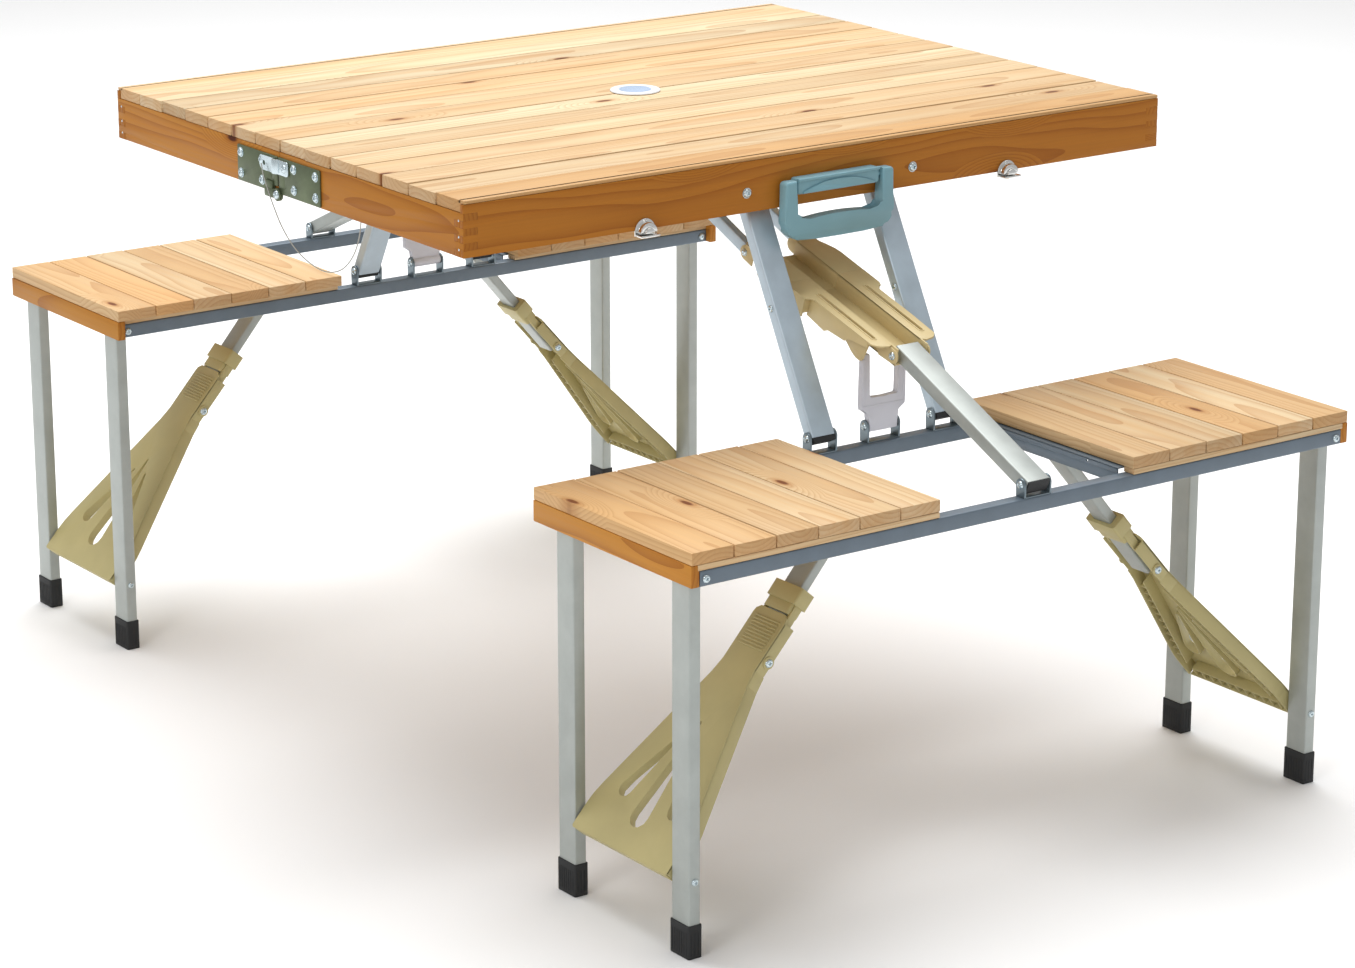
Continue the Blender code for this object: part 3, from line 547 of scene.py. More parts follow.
def table_boards(side, leaf):
    low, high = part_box(f"table_top_{leaf}")
    count, gap, hole = PLANKS_PER_LEAF, 0.0022, HOLE_RADIUS
    pitch = (high.y - low.y + GAP) / count
    top = piece(f"table_boards_{leaf}", f"table_{leaf}", "pine")
    for index in range(count):
        near = side * (index * pitch + gap / 2)
        far = side * ((index + 1) * pitch - (gap / 2 if index < count - 1 else GAP))
        ends = [low.x + abs(chance.gauss(0, 0.0006)), high.x - abs(chance.gauss(0, 0.0006))]
        lift = -abs(chance.gauss(0, 0.00025))
        corners = (ends[0], min(near, far), low.z), (ends[1], max(near, far), high.z)
        grain = board_grain(*corners, 0, 2)
        tone = board_tone(0.36, 0.36)
        if index == 0:
            reach = math.degrees(math.acos(abs(near) / hole))
            notch = arc((0, 0), hole, side * 90 - reach, side * 90 + reach, 20)
            notch = notch if side > 0 else notch[::-1]
            outline = [(ends[0], near), *sorted(notch), (ends[1], near), (ends[1], far), (ends[0], far)]
            top.add(prism(outline, low.z, high.z + lift, 0.0006), grain=grain, tone=tone)
        else:
            edge = far - side * (RIM_SKIN + GAP) if index == count - 1 else far
            top.add(block((ends[0], near, low.z), (ends[1], edge, high.z + lift), 0.0007),
                    grain=grain, tone=tone)
            if index == count - 1:
                top.add(block((ends[0], edge - side * 0.004, RIM_COVER + GAP), (ends[1], far, high.z + lift),
                              0.0007), grain=grain, tone=tone)
        # A tongue under each gap between boards, given the warmest and darkest tone (1, 0, 0): painted shade
        # down the gap.
        if index < count - 1:
            top.add(block((ends[0] + 0.002, far - side * 0.002, low.z + 0.002),
                          (ends[1] - 0.002, far + side * (gap + 0.002), low.z + 0.006), 0.0002),
                    grain=grain, tone=(1.0, 0.0, 0.0, 1.0))
    top.finish(f"table_top_{leaf}")


def comb(low, high, tooth, count, odd):
    """Outline of a board whose two ends are cut in fingers: (x, y) with the fingers along x."""
    step = (high[1] - low[1]) / count
    right, left = [], []
    for index in range(count):
        out = 0 if index % 2 == odd else tooth
        y = low[1] + index * step
        right += [(high[0] - out, y), (high[0] - out, y + step)]
        left += [(low[0] + out, y), (low[0] + out, y + step)]
    return right + left[::-1]


def rim_boards(side, leaf):
    low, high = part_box(f"table_rim_{leaf}")
    thick, count = RIM_THICK, FINGERS
    rim = piece(f"rim_boards_{leaf}", f"table_{leaf}", "pine_rim")
    far = low.y if side < 0 else high.y
    inner = far - side * thick
    long_corners = (low.x, min(far, inner), low.z), (high.x, max(far, inner), high.z)
    grain, tone = board_grain(*long_corners, 0, 1), board_tone(0.6, 0.15)
    teeth = comb((low.x, low.z), (high.x, high.z), thick, count, 0)
    right = [point for point in teeth if point[0] > 0]
    shoulder = high.z + 0.0001
    apron = [*right, (high.x - thick, shoulder), (high.x, shoulder), (high.x, RIM_COVER)]
    apron += [(-x, z) for x, z in reversed(apron)]
    for outline, inside, outside in ((apron, 0, RIM_SKIN), (teeth, RIM_SKIN, thick)):
        place = Matrix(((1, 0, 0, 0), (0, 0, -side, far), (0, 1, 0, 0), (0, 0, 0, 1)))
        rim.add(prism(outline, inside, outside, 0.0004), place, grain, tone)
    for end, _ in HANDS:
        face = low.x if end < 0 else high.x
        corners = ((min(face, face - end * thick), low.y, low.z),
                   (max(face, face - end * thick), high.y, high.z))
        fingers = comb((0.0004, low.z), (abs(far), high.z), thick, count, 1)
        fingers = [(0.0004 if along < thick * 1.5 else along, z) for along, z in fingers]
        shape = prism(fingers, 0, thick, 0.0004)
        place = Matrix(((0, 0, -end, face), (side, 0, 0, 0), (0, 1, 0, 0), (0, 0, 0, 1)))
        rim.add(shape, place, board_grain(*corners, 1, 0), board_tone(0.45, 0.2))
    rim.finish(f"table_rim_{leaf}")


def seat_boards(side, leaf, end, hand):
    node = f"seat_{leaf}_{hand}"
    low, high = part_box(node)
    body = f"bench_{leaf}"
    count, thick, gap = PLANKS_PER_SEAT, BOARD, 0.0016
    skirt, cleat_low, cleat_half = 0.0091, 0.3793, 0.0073
    pitch = (high.x - low.x) / count
    seat = piece(f"seat_boards_{leaf}_{hand}", body, "pine")
    tones = [0.15, 0.55, 0.85, 0.25, 0.7, 0.4]
    chance.shuffle(tones)
    for index in range(count):
        left, right = low.x + index * pitch + gap / 2, low.x + (index + 1) * pitch - gap / 2
        trim = [abs(chance.gauss(0, 0.0004)) for _ in range(2)]
        corners = (left, low.y + trim[0], high.z - thick), (right, high.y - trim[1],
                                                            high.z - abs(chance.gauss(0, 0.0002)))
        seat.add(block(*corners, 0.0006), grain=board_grain(*corners, 1, 2),
                 tone=(tones[index], chance.random(), 0, 1))
    outer = high.x if end > 0 else low.x
    for rail in (RAIL_INNER, RAIL_OUTER):
        corners = ((outer - end * 0.2835, side * (rail - cleat_half), cleat_low),
                   (outer - end * 0.007, side * (rail + cleat_half), high.z - thick - GAP))
        seat.add(block(*corners, 0.0005), grain=board_grain(*corners, 0, 2), tone=board_tone(0.2, 0.1))
    seat.finish(node)
    lip = piece(f"seat_skirt_{leaf}_{hand}", body, "pine_rim")
    corners = ((outer, low.y + 0.0003, low.z), (outer - end * skirt, high.y - 0.0003, high.z - thick - GAP))
    lip.add(block(*corners, 0.0008), grain=board_grain(*corners, 1, 0), tone=board_tone(0.1, 0.1))
    lip.finish()


# ---------------------------------------------------------------- bars, plugs and pins
def leaf_point(side, point):
    """The same place on a leaf: points are written for the back leaf and mirrored for the front one."""
    return Vector((point[0], side * abs(point[1]), point[2]))


def bar(target, start, stop, half_x, half_depth, before, after, radius=0.0018):
    """Rectangular tube from start to stop, wide along X."""
    run = stop - start
    target.add(tube(half_x, half_depth, run.length + after, 0.0012, radius, -before), axes(start, X, run))


def plug(target, start, stop, half_x, half_depth, before, proud=0.0012):
    """Black end plug just past the stop end of a tube."""
    run = stop - start
    wide, deep = half_x - 0.0006, half_depth - 0.0006
    shape = block((-wide, -deep, -0.004), (wide, deep, proud), 0.0006)
    target.add(shape, axes(stop + run.normalized() * before, X, run))


def rivets(target, point, across, reach, radius=0.0040, head=rivet):
    """A head on both outer faces of a pinned joint."""
    for hand in (-1, 1):
        target.add(head(radius), axes(point + across * (hand * reach), Z, across * hand))


def clevis(target, heads, point, half_gap, foot_z):
    """Bent steel U: a foot, two round-topped ears and the rivet through them."""
    half, sheet = 0.0065, SHEET
    ear = [(-half, foot_z - point.z), (half, foot_z - point.z), *arc((0, 0), half, 0, 180, 10)]
    for hand in (-1, 1):
        place = axes(point + X * (hand * (half_gap + sheet / 2)), Y, X)
        target.add(prism(ear, -sheet / 2, sheet / 2, 0.0004), place)
    low = Vector((point.x - half_gap - sheet, point.y - half, foot_z - GAP))
    high = Vector((point.x + half_gap + sheet, point.y + half, foot_z + 0.0012))
    target.add(block(low, high, 0.0005))
    rivets(heads, point, X, half_gap + sheet)


# ---------------------------------------------------------------- benches
def bench_metal(side, leaf):
    body = f"bench_{leaf}"
    end_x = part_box(f"bench_frame_{leaf}")[1].x
    rails = piece(f"rails_{leaf}", body, "rail_steel")
    plugs = piece(f"rail_plugs_{leaf}", body, "rubber")
    steel = piece(f"clevises_{leaf}", body, "bright_zinc", "clevis_steel")
    heads = piece(f"rail_rivets_{leaf}", body, "bright_zinc")
    half = RAIL / 2
    for out in (RAIL_INNER, RAIL_OUTER):
        left = Vector((-end_x, side * out, RAIL_TOP - half))
        rails.add(tube(half, half, 2 * end_x, 0.0012, 0.0016), axes(left, Y, X))
        for end, _ in HANDS:
            plugs.add(block((end * (end_x - 0.006), side * out - half + 0.0015, RAIL_TOP - RAIL + 0.0015),
                            (end * (end_x - 0.0008), side * out + half - 0.0015, RAIL_TOP - 0.0015), 0.0008))
    for end, hand in HANDS:
        near, far = end * 0.1115, end * 0.144
        inner, outer = side * (RAIL_INNER + half), side * (RAIL_OUTER - half)
        flange = [(inner, 0), (outer, 0), (outer, 0.0058), (inner, 0.0058)]
        eyes = [arc((side * out, 0.0029), 0.0012, 0, 345, 11) for out in (0.47, 0.60)]
        place = Matrix(((0, 0, end, near), (1, 0, 0, 0), (0, 1, 0, RAIL_TOP - 0.0008), (0, 0, 0, 1)))
        rails.add(prism(flange, 0, 0.0015, 0.0003, eyes), place)
        rails.add(block((near, inner, RAIL_TOP + 0.0036), (far, outer, RAIL_TOP + 0.0050), 0.0004))
        rails.add(block((near, inner, RAIL_TOP - 0.0105),
                        (near + end * 0.0015, outer, RAIL_TOP - 0.0006), 0.0004))
        top = pivot(f"brace_tube_turn_{leaf}_{hand}")
        ear = [(-0.0075, 0.008), *arc((0, 0), 0.0070, 180, 360, 10), (0.0075, 0.008)]
        for wall in (-1, 1):
            steel.add(prism(ear, -SHEET / 2, SHEET / 2, 0.0004),
                      axes(top + Y * (wall * 0.0147), X, -Y))
        rivets(heads, top, Y, 0.0157, 0.0038)
        axle = pivot(f"leg_fold_{leaf}_{hand}")
        for out, face in ((RAIL_INNER, -1), (RAIL_INNER, 1), (RAIL_OUTER, -1), (RAIL_OUTER, 1)):
            place = Vector((axle.x, side * (out + face * half), axle.z))
            heads.add(pan_screw(0.0040), axes(place, X + Z * 0.4, Y * side * face))
        clevis(steel, heads, leaf_point(side, (end * A_LEG_X, RAIL_INNER, CLEVIS_Z)), 0.0145, RAIL_TOP)
    clevis(steel, heads, pivot(f"link_turn_{leaf}"), 0.0183, RAIL_TOP)
    clevis(steel, heads, pivot(f"strut_turn_{leaf}"), 0.0145, RAIL_TOP)
    rails.finish(f"bench_frame_{leaf}")
    for extra in (plugs, steel, heads):
        extra.finish()


def a_legs(leaf):
    body = f"a_legs_{leaf}"
    top, foot = pivot(f"bench_stow_{leaf}"), pivot(f"bench_level_{leaf}")
    legs = piece(f"a_leg_tubes_{leaf}", body, "aluminium")
    plugs = piece(f"a_leg_plugs_{leaf}", body, "rubber")
    heads = piece(f"a_leg_rivets_{leaf}", body, "bright_zinc")
    for end, hand in HANDS:
        shift = X * (end * A_LEG_X)
        start, stop = shift + Vector((0, top.y, top.z)), shift + Vector((0, foot.y, foot.z))
        bar(legs, start, stop, 0.014, FLAT_HALF, 0.0055, 0.0008, 0.0024)
        plug(plugs, start, stop, 0.014, FLAT_HALF, 0.0008, 0.0054)
        rivets(heads, start.lerp(stop, 0.52), X, 0.014, 0.0036, pan_screw)
    legs.finish(*(f"a_leg_{leaf}_{hand}" for _, hand in HANDS))
    plugs.finish()
    heads.finish()


def strut(leaf):
    top, low = pivot(f"bracket_lower_turn_{leaf}"), pivot(f"strut_turn_{leaf}")
    tubes = piece(f"strut_tube_{leaf}", f"lower_strut_{leaf}", "leg_tube")
    bar(tubes, top, low, 0.0138, FLAT_HALF, 0.0060, 0.0050, 0.0016)
    tubes.finish(f"lower_strut_{leaf}")
    plugs = piece(f"strut_plug_{leaf}", f"lower_strut_{leaf}", "rubber")
    plug(plugs, top, low, 0.0138, FLAT_HALF, 0.0050, 0.0018)
    plugs.finish()


def arms(leaf):
    body = f"strut_arms_{leaf}"
    top, low = pivot(f"arm_turn_{leaf}"), pivot(f"bracket_upper_turn_{leaf}")
    bars = piece(f"arm_bars_{leaf}", body, "aluminium")
    pins = piece(f"arm_pins_{leaf}", body, "bright_zinc")
    for end, _ in HANDS:
        shift = X * (end * ARM_X)
        bar(bars, top + shift, low + shift, 0.0044, FLAT_HALF, 0.006, 0.006, 0.0014)
    pins.add(lathe([(0, -0.0413), (0.0025, -0.0413), (0.0025, 0.0413), (0, 0.0413)], 20), axes(top, Z, X))
    rivets(pins, top, X, 0.0405, 0.0036)
    bars.finish(f"strut_arms_{leaf}")
    pins.finish()


def link(side, leaf):
    foot = pivot(f"link_turn_{leaf}")
    half = [(0, -0.0050), (0.0168, -0.0050), (0.0177, -0.0040), (0.0177, 0.0135), (0.0268, 0.0180),
            (0.0271, 0.0195), (0.0271, 0.0270), (0.0262, 0.0735), (0.0240, 0.0748), (0.0186, 0.0745),
            (0.0178, 0.0730), (0.0184, 0.0330), (0.0178, 0.0302), (0.0160, 0.0290), (0, 0.0290)]
    outline = half + [(-x, z) for x, z in half[-2:0:-1]]
    fork = piece(f"link_fork_{leaf}", f"link_{leaf}", "grey_plastic")
    place = Matrix(((1, 0, 0, foot.x), (0, 0, side, foot.y), (0, 1, 0, foot.z), (0, 0, 0, 1)))
    fork.add(prism(outline, -0.0020, 0.0052, 0.0009), place)
    for hand in (-1, 1):
        fork.add(block((hand * 0.0236, 0.0240, 0.0040), (hand * 0.0268, 0.0700, 0.0058), 0.0006), place)
    fork.add(block((-0.0262, 0.0190, 0.0040), (0.0262, 0.0222, 0.0058), 0.0006), place)
    fork.add(lathe([(0, -0.0177), (0.0050, -0.0177), (0.0052, -0.0172), (0.0052, 0.0172), (0.0050, 0.0177),
                    (0, 0.0177)], 24), axes(foot, Z, X))
    fork.finish(f"link_{leaf}")


# ---------------------------------------------------------------- tan bracket
def bracket(side, leaf):
    """One moulded channel with wide slotted flanges; it shows in two halves that meet at a hairline."""
    start, stop = pivot(f"bracket_upper_turn_{leaf}"), pivot(f"bracket_lower_turn_{leaf}")
    run = (stop - start).normalized()
    rise = Vector((0, side * abs(run.z), abs(run.y)))
    place = Matrix((X, run, rise)).transposed().to_4x4()
    place.translation = start
    length = (stop - start).length
    seam, wall, web, lip = 0.0800, 0.0192, -0.0093, 0.0093
    skin = 0.0018

    upper = piece(f"bracket_channel_{leaf}", f"bracket_upper_{leaf}", "tan_plastic")
    lower = piece(f"bracket_tail_{leaf}", f"bracket_lower_{leaf}", "tan_plastic")
    across = Matrix(((0, 0, 1, 0), (1, 0, 0, 0), (0, 1, 0, 0), (0, 0, 0, 1)))
    for half, first, last in ((upper, 0.008, seam), (lower, seam + 0.0001, length + 0.004)):
        half.add(block((-wall, first, web), (wall, last, web + skin), 0.0003), place)
        for hand in (-1, 1):
            half.add(block((hand * (wall - skin), first, web), (hand * wall, last, lip - 0.0002), 0.0004),
                     place)
    for hand in (-1, 1):
        ear = [*arc((0, 0), 0.0075, 90, 270, 8), (0.014, -0.0090), (0.014, lip - skin), (0.0, lip - skin)]
        for x in (wall + 0.0002, 0.0378):
            shift = Matrix.Translation((hand * x, 0, 0))
            upper.add(prism(ear, 0, hand * skin, 0.0004), place @ shift @ across)
        edge = [(wall - skin, -0.004), (0.0360, -0.004), (0.0400, 0.000), (0.0400, 0.016), (0.0440, 0.024),
                (0.0475, 0.034), (0.0490, 0.042), (0.0490, seam), (wall - skin, seam)]
        upper.add(prism([(hand * x, y) for x, y in edge], lip - skin, lip, 0.0005), place)
        skirt = [(0.034, -0.0060), (0.044, -0.0125), (0.060, -0.0150), (seam, -0.0155), (seam, lip - skin),
                 (0.034, lip - skin)]
        upper.add(prism(skirt, 0, -hand * skin, 0.0004),
                  place @ Matrix.Translation((hand * 0.0475, 0, 0)) @ across)
        tail = [(wall - skin, seam + 0.0001), (0.0490, seam + 0.0001), (0.0490, 0.108), (0.0470, 0.113),
                (0.0415, 0.116), (0.0400, 0.121), (0.0400, 0.176),
                *arc((0.0270, length - 0.0180), 0.0130, 20, 90, 5), (wall + 0.004, length - 0.004),
                (wall - skin, length - 0.007)]
        slot = slot_outline((0.0295, 0.112), (0.0295, length - 0.022), 0.0019, 4)
        outline, *holes = [[(hand * x, y) for x, y in ring] for ring in (tail, slot)]
        lower.add(prism(outline, lip - skin, lip, 0.0005, holes), place)
        rail = slot_outline((0.0295, 0.112), (0.0295, length - 0.022), 0.0034, 6)
        outline, *holes = [[(hand * x, y) for x, y in ring] for ring in (rail, slot)]
        lower.add(prism(outline, lip - 0.0003, lip + 0.0006, 0.0002, holes), place)
        skirt = [(seam, -0.0155), (0.106, -0.0155), (0.112, -0.0120), (0.112, lip - skin), (seam, lip - skin)]
        lower.add(prism(skirt, 0, -hand * skin, 0.0004),
                  place @ Matrix.Translation((hand * 0.0475, 0, 0)) @ across)
        bulkhead = sorted((hand * 0.0388, hand * 0.0474))
        lower.add(block((bulkhead[0], 0.1095, -0.0090), (bulkhead[1], 0.1113, lip - skin), 0.0004), place)
        skirt = [(0.110, -0.0125), (0.140, -0.0150), (0.146, -0.0105), (0.172, -0.0085), (0.177, -0.0030),
                 (0.206, 0.0020), (0.206, lip - skin), (0.110, lip - skin)]
        lower.add(prism(skirt, 0, -hand * skin, 0.0004),
                  place @ Matrix.Translation((hand * 0.0392, 0, 0)) @ across)
        cheek = [(0.150, lip - skin), (0.152, -0.0100), (0.166, -0.0150), (0.174, -0.0205), (0.182, -0.0232),
                 *arc((0.1880, -0.0182), 0.0050, -90, 0, 5), (0.196, -0.0040), (0.204, lip - skin)]
        lower.add(prism(cheek, 0, hand * skin, 0.0004),
                  place @ Matrix.Translation((hand * 0.0276, 0, 0)) @ across)
        lobe = [(length - 0.034, lip - skin), (length - 0.020, web), *arc((length, 0), 0.0078, -90, 60, 8),
                (length - 0.006, lip - skin)]
        lower.add(prism(lobe, 0, hand * skin, 0.0004),
                  place @ Matrix.Translation((hand * (wall - 0.0002), 0, 0)) @ across)
    upper.finish(f"bracket_upper_{leaf}")
    lower.finish(f"bracket_lower_{leaf}")
    heads = piece(f"bracket_rivets_{leaf}", f"bracket_upper_{leaf}", "bright_zinc")
    rivets(heads, start, X, 0.0396, 0.0042)
    heads.finish()
    heads = piece(f"bracket_screws_{leaf}", f"bracket_lower_{leaf}", "bright_zinc")
    rivets(heads, stop, X, wall + skin, 0.0042)
    heads.finish()


# ---------------------------------------------------------------- legs, feet and braces
def legs(side, leaf, hand):
    place_name = f"{leaf}_{hand}"
    axle = pivot(f"leg_fold_{place_name}")
    body = f"legs_{place_name}"
    tubes = piece(f"leg_tubes_{place_name}", body, "leg_tube")
    heads = piece(f"leg_bolts_{place_name}", body, "bright_zinc")
    for out, which in ((LEG_INNER, "inner"), (LEG_OUTER, "outer")):
        foot_low, foot_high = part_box(f"foot_{place_name}_{which}")
        y = side * out
        length = axle.z - 0.0016
        tubes.add(tube(LEG_HALF_X, LEG_HALF_Y, length, 0.0012, 0.0016, -0.005),
                  axes((axle.x, y, axle.z), X, -Z))
        face = y + side * LEG_HALF_Y * (1 if which == "outer" else -1)
        heads.add(pan_screw(0.0036), axes((axle.x, face, LEG_BOLT_Z), X, Y if face > y else -Y))
        cup = piece(f"foot_{place_name}_{which}", body, "rubber")
        size = (foot_high - foot_low) / 2
        middle = (foot_high + foot_low) / 2
        rim = rounded((-size.x, -size.y), (size.x, size.y), 0.0020)
        cup.add(prism(rim, 0, size.z * 2, 0.0008), Matrix.Translation((middle.x, middle.y, 0)))
        low_z, high_z, half_rib, proud = 0.0035, size.z * 2 - 0.007, 0.0007, 0.00045
        for wall in (-1, 1):
            for step in range(-3, 4):
                rib = middle.y + step * 0.0036
                cup.add(block((middle.x + wall * size.x - 0.0002, rib - half_rib, low_z),
                              (middle.x + wall * (size.x + proud), rib + half_rib, high_z), 0.0002))
            for step in range(-1, 2):
                rib = middle.x + step * 0.0038
                cup.add(block((rib - half_rib, middle.y + wall * size.y - 0.0002, low_z),
                              (rib + half_rib, middle.y + wall * (size.y + proud), high_z), 0.0002))
        cup.finish(f"foot_{place_name}_{which}")
    tubes.finish(f"leg_frame_{place_name}")
    heads.finish()


def brace_tube(leaf, hand):
    """Flat tube from the bench frame, its end plug, and the stepped collar and clips at its lower end."""
    place_name = f"{leaf}_{hand}"
    body = f"brace_tube_{place_name}"
    top, elbow = pivot(f"brace_tube_turn_{place_name}"), pivot(f"brace_plate_turn_{place_name}")
    run = elbow - top
    tail = run.length
    place = axes(top, Y.cross(run), run)
    tubes = piece(body, body, "leg_tube")
    tubes.add(tube(0.0055, 0.0130, tail + 0.005, 0.0012, 0.0020, -0.0052), place)
    tubes.finish(body)
    stopper = piece(f"brace_plug_{place_name}", body, "rubber")
    stopper.add(block((-0.0050, -0.0124, -0.0062), (0.0050, 0.0124, -0.0020), 0.0006), place)
    stopper.finish()

    collar = piece(f"brace_collar_{place_name}", body, "olive_plastic")
    inner = rounded((-0.0058, -0.0133), (0.0058, 0.0133), 0.0020)
    for half_x, half_y, first, last in ((0.0095, 0.0215, tail - 0.077, tail - 0.060),
                                        (0.0080, 0.0185, tail - 0.061, tail - 0.049)):
        outer = rounded((-half_x, -half_y), (half_x, half_y), 0.0030)
        collar.add(prism(outer, first, last, 0.0009, [inner]), place)
    for wall in (-1, 1):
        clip = slot_outline((tail - 0.062, 0), (tail - 0.034, 0), 0.0046, 6)
        collar.add(prism(clip, 0.0168, 0.0202, 0.0007),
                   place @ Matrix(((0, 1, 0, 0), (0, 0, wall, 0), (1, 0, 0, 0), (0, 0, 0, 1))))
    collar.finish()


def brace_plate(leaf, end, hand):
    """Slotted plate from the elbow to the legs: a thin face, side walls, and a row of ribs behind each side.

    Its own x runs down the plate, y across it and z out of its face.
    """
    place_name = f"{leaf}_{hand}"
    body = f"brace_plate_{place_name}"
    elbow, axle = pivot(f"brace_plate_turn_{place_name}"), pivot(f"leg_fold_{place_name}")
    foot = Vector((axle.x, elbow.y, LEG_BOLT_Z))
    along = (foot - elbow).normalized()
    length = (foot - elbow).length
    outward = Vector((end * abs(along.z), 0, abs(along.x)))
    place = Matrix((along, Y, outward)).transposed().to_4x4()
    place.translation = elbow
    neck, wide, skin = 0.0245, 0.0765, 0.0018
    lip, deep, face, head = length + 0.008, -0.0062, 0.0090, -0.047
    plate = piece(body, body, "olive_plastic")
    bend, broad = 0.022, length - 0.030
    edge = [(head, neck - 0.006), (head + 0.004, neck - 0.001), (head + 0.008, neck), (bend - 0.008, neck),
            (bend + 0.008, neck + 0.0030), (broad - 0.012, wide - 0.0040), (broad, wide - 0.0010),
            (broad + 0.010, wide), (lip - 0.002, wide), (lip, wide - 0.002)]
    outline = edge + [(u, -v) for u, v in reversed(edge)]
    tears = [((0.080, 0.0), (length - 0.030, 0.0), 0.0120),
             ((0.096, 0.0125), (length - 0.048, 0.0390), 0.0090),
             ((0.096, -0.0125), (length - 0.048, -0.0390), 0.0090)]
    slots = [slot_outline(first, last, 0.0014, 6, wide_end) for first, last, wide_end in tears]
    plate.add(prism(outline, face - skin, face, 0.0007, slots), place)
    for (first, last, wide_end), ring in zip(tears, slots):
        wall = slot_outline(first, last, 0.0028, 6, wide_end + 0.0014)
        plate.add(prism(wall, 0.0005, face - skin + 0.0002, 0.0003, [ring]), place)
    for hand_v in (-1, 1):
        for (u0, v0), (u1, v1) in zip(edge[2:], edge[3:-1]):
            run_v = Vector((u1 - u0, (v1 - v0) * hand_v, 0))
            flank = axes((u0, v0 * hand_v, 0), run_v, Z)
            floor_n = -0.0052 if u0 < bend - 0.01 else deep
            plate.add(block((-0.0003, 0, floor_n),
                            (run_v.length + 0.0003, -hand_v * skin, face - 0.0004), 0.0004), place @ flank)
        rail_u, rail_v = (bend + 0.010, neck - 0.010), (broad + 0.012, wide - 0.013)
        run_v = Vector((rail_v[0] - rail_u[0], (rail_v[1] - rail_u[1]) * hand_v, 0))
        flank = axes((rail_u[0], rail_u[1] * hand_v, 0), run_v, Z)
        plate.add(block((0, -0.0007, deep + 0.001), (run_v.length, 0.0007, face - skin + 0.0002), 0.0003),
                  place @ flank)
        for step in range(1, 12):
            share = step / 12
            u = rail_u[0] + (rail_v[0] - rail_u[0]) * share
            v = rail_u[1] + (rail_v[1] - rail_u[1]) * share
            plate.add(block((u - 0.0006, hand_v * v, deep + 0.002),
                            (u + 0.0006, hand_v * (v + 0.0105), face - skin + 0.0002), 0.0003), place)
        plate.add(lathe([(0, 0), (0.0062, 0), (0.0062, 0.0016), (0.0048, 0.0020), (0, 0.0012)], 24),
                  place @ axes((0, hand_v * (neck - 0.0003), 0), X, Y * hand_v))
    plate.add(block((lip - skin, -wide + 0.002, deep + 0.001),
                    (lip, wide - 0.002, face - 0.0004), 0.0006), place)
    plate.add(block((lip - 0.0145, -wide + 0.012, deep + 0.002),
                    (lip - 0.0133, wide - 0.012, face - skin), 0.0003), place)
    for step in range(-5, 6):
        plate.add(block((lip - 0.0140, step * 0.0128 - 0.0006, deep + 0.002),
                        (lip - 0.001, step * 0.0128 + 0.0006, face - skin), 0.0003), place)
    for index in range(10):
        u = head + 0.009 + index * 0.0034
        plate.add(block((u, -neck + 0.006, face - 0.0004),
                        (u + 0.0018, neck - 0.006, face + 0.0008), 0.0004), place)
    plate.finish(body)
    heads = piece(f"brace_bolts_{place_name}", body, "bright_zinc")
    rivets(heads, elbow, Y, neck + 0.0008, 0.0044, pan_screw)
    heads.finish()


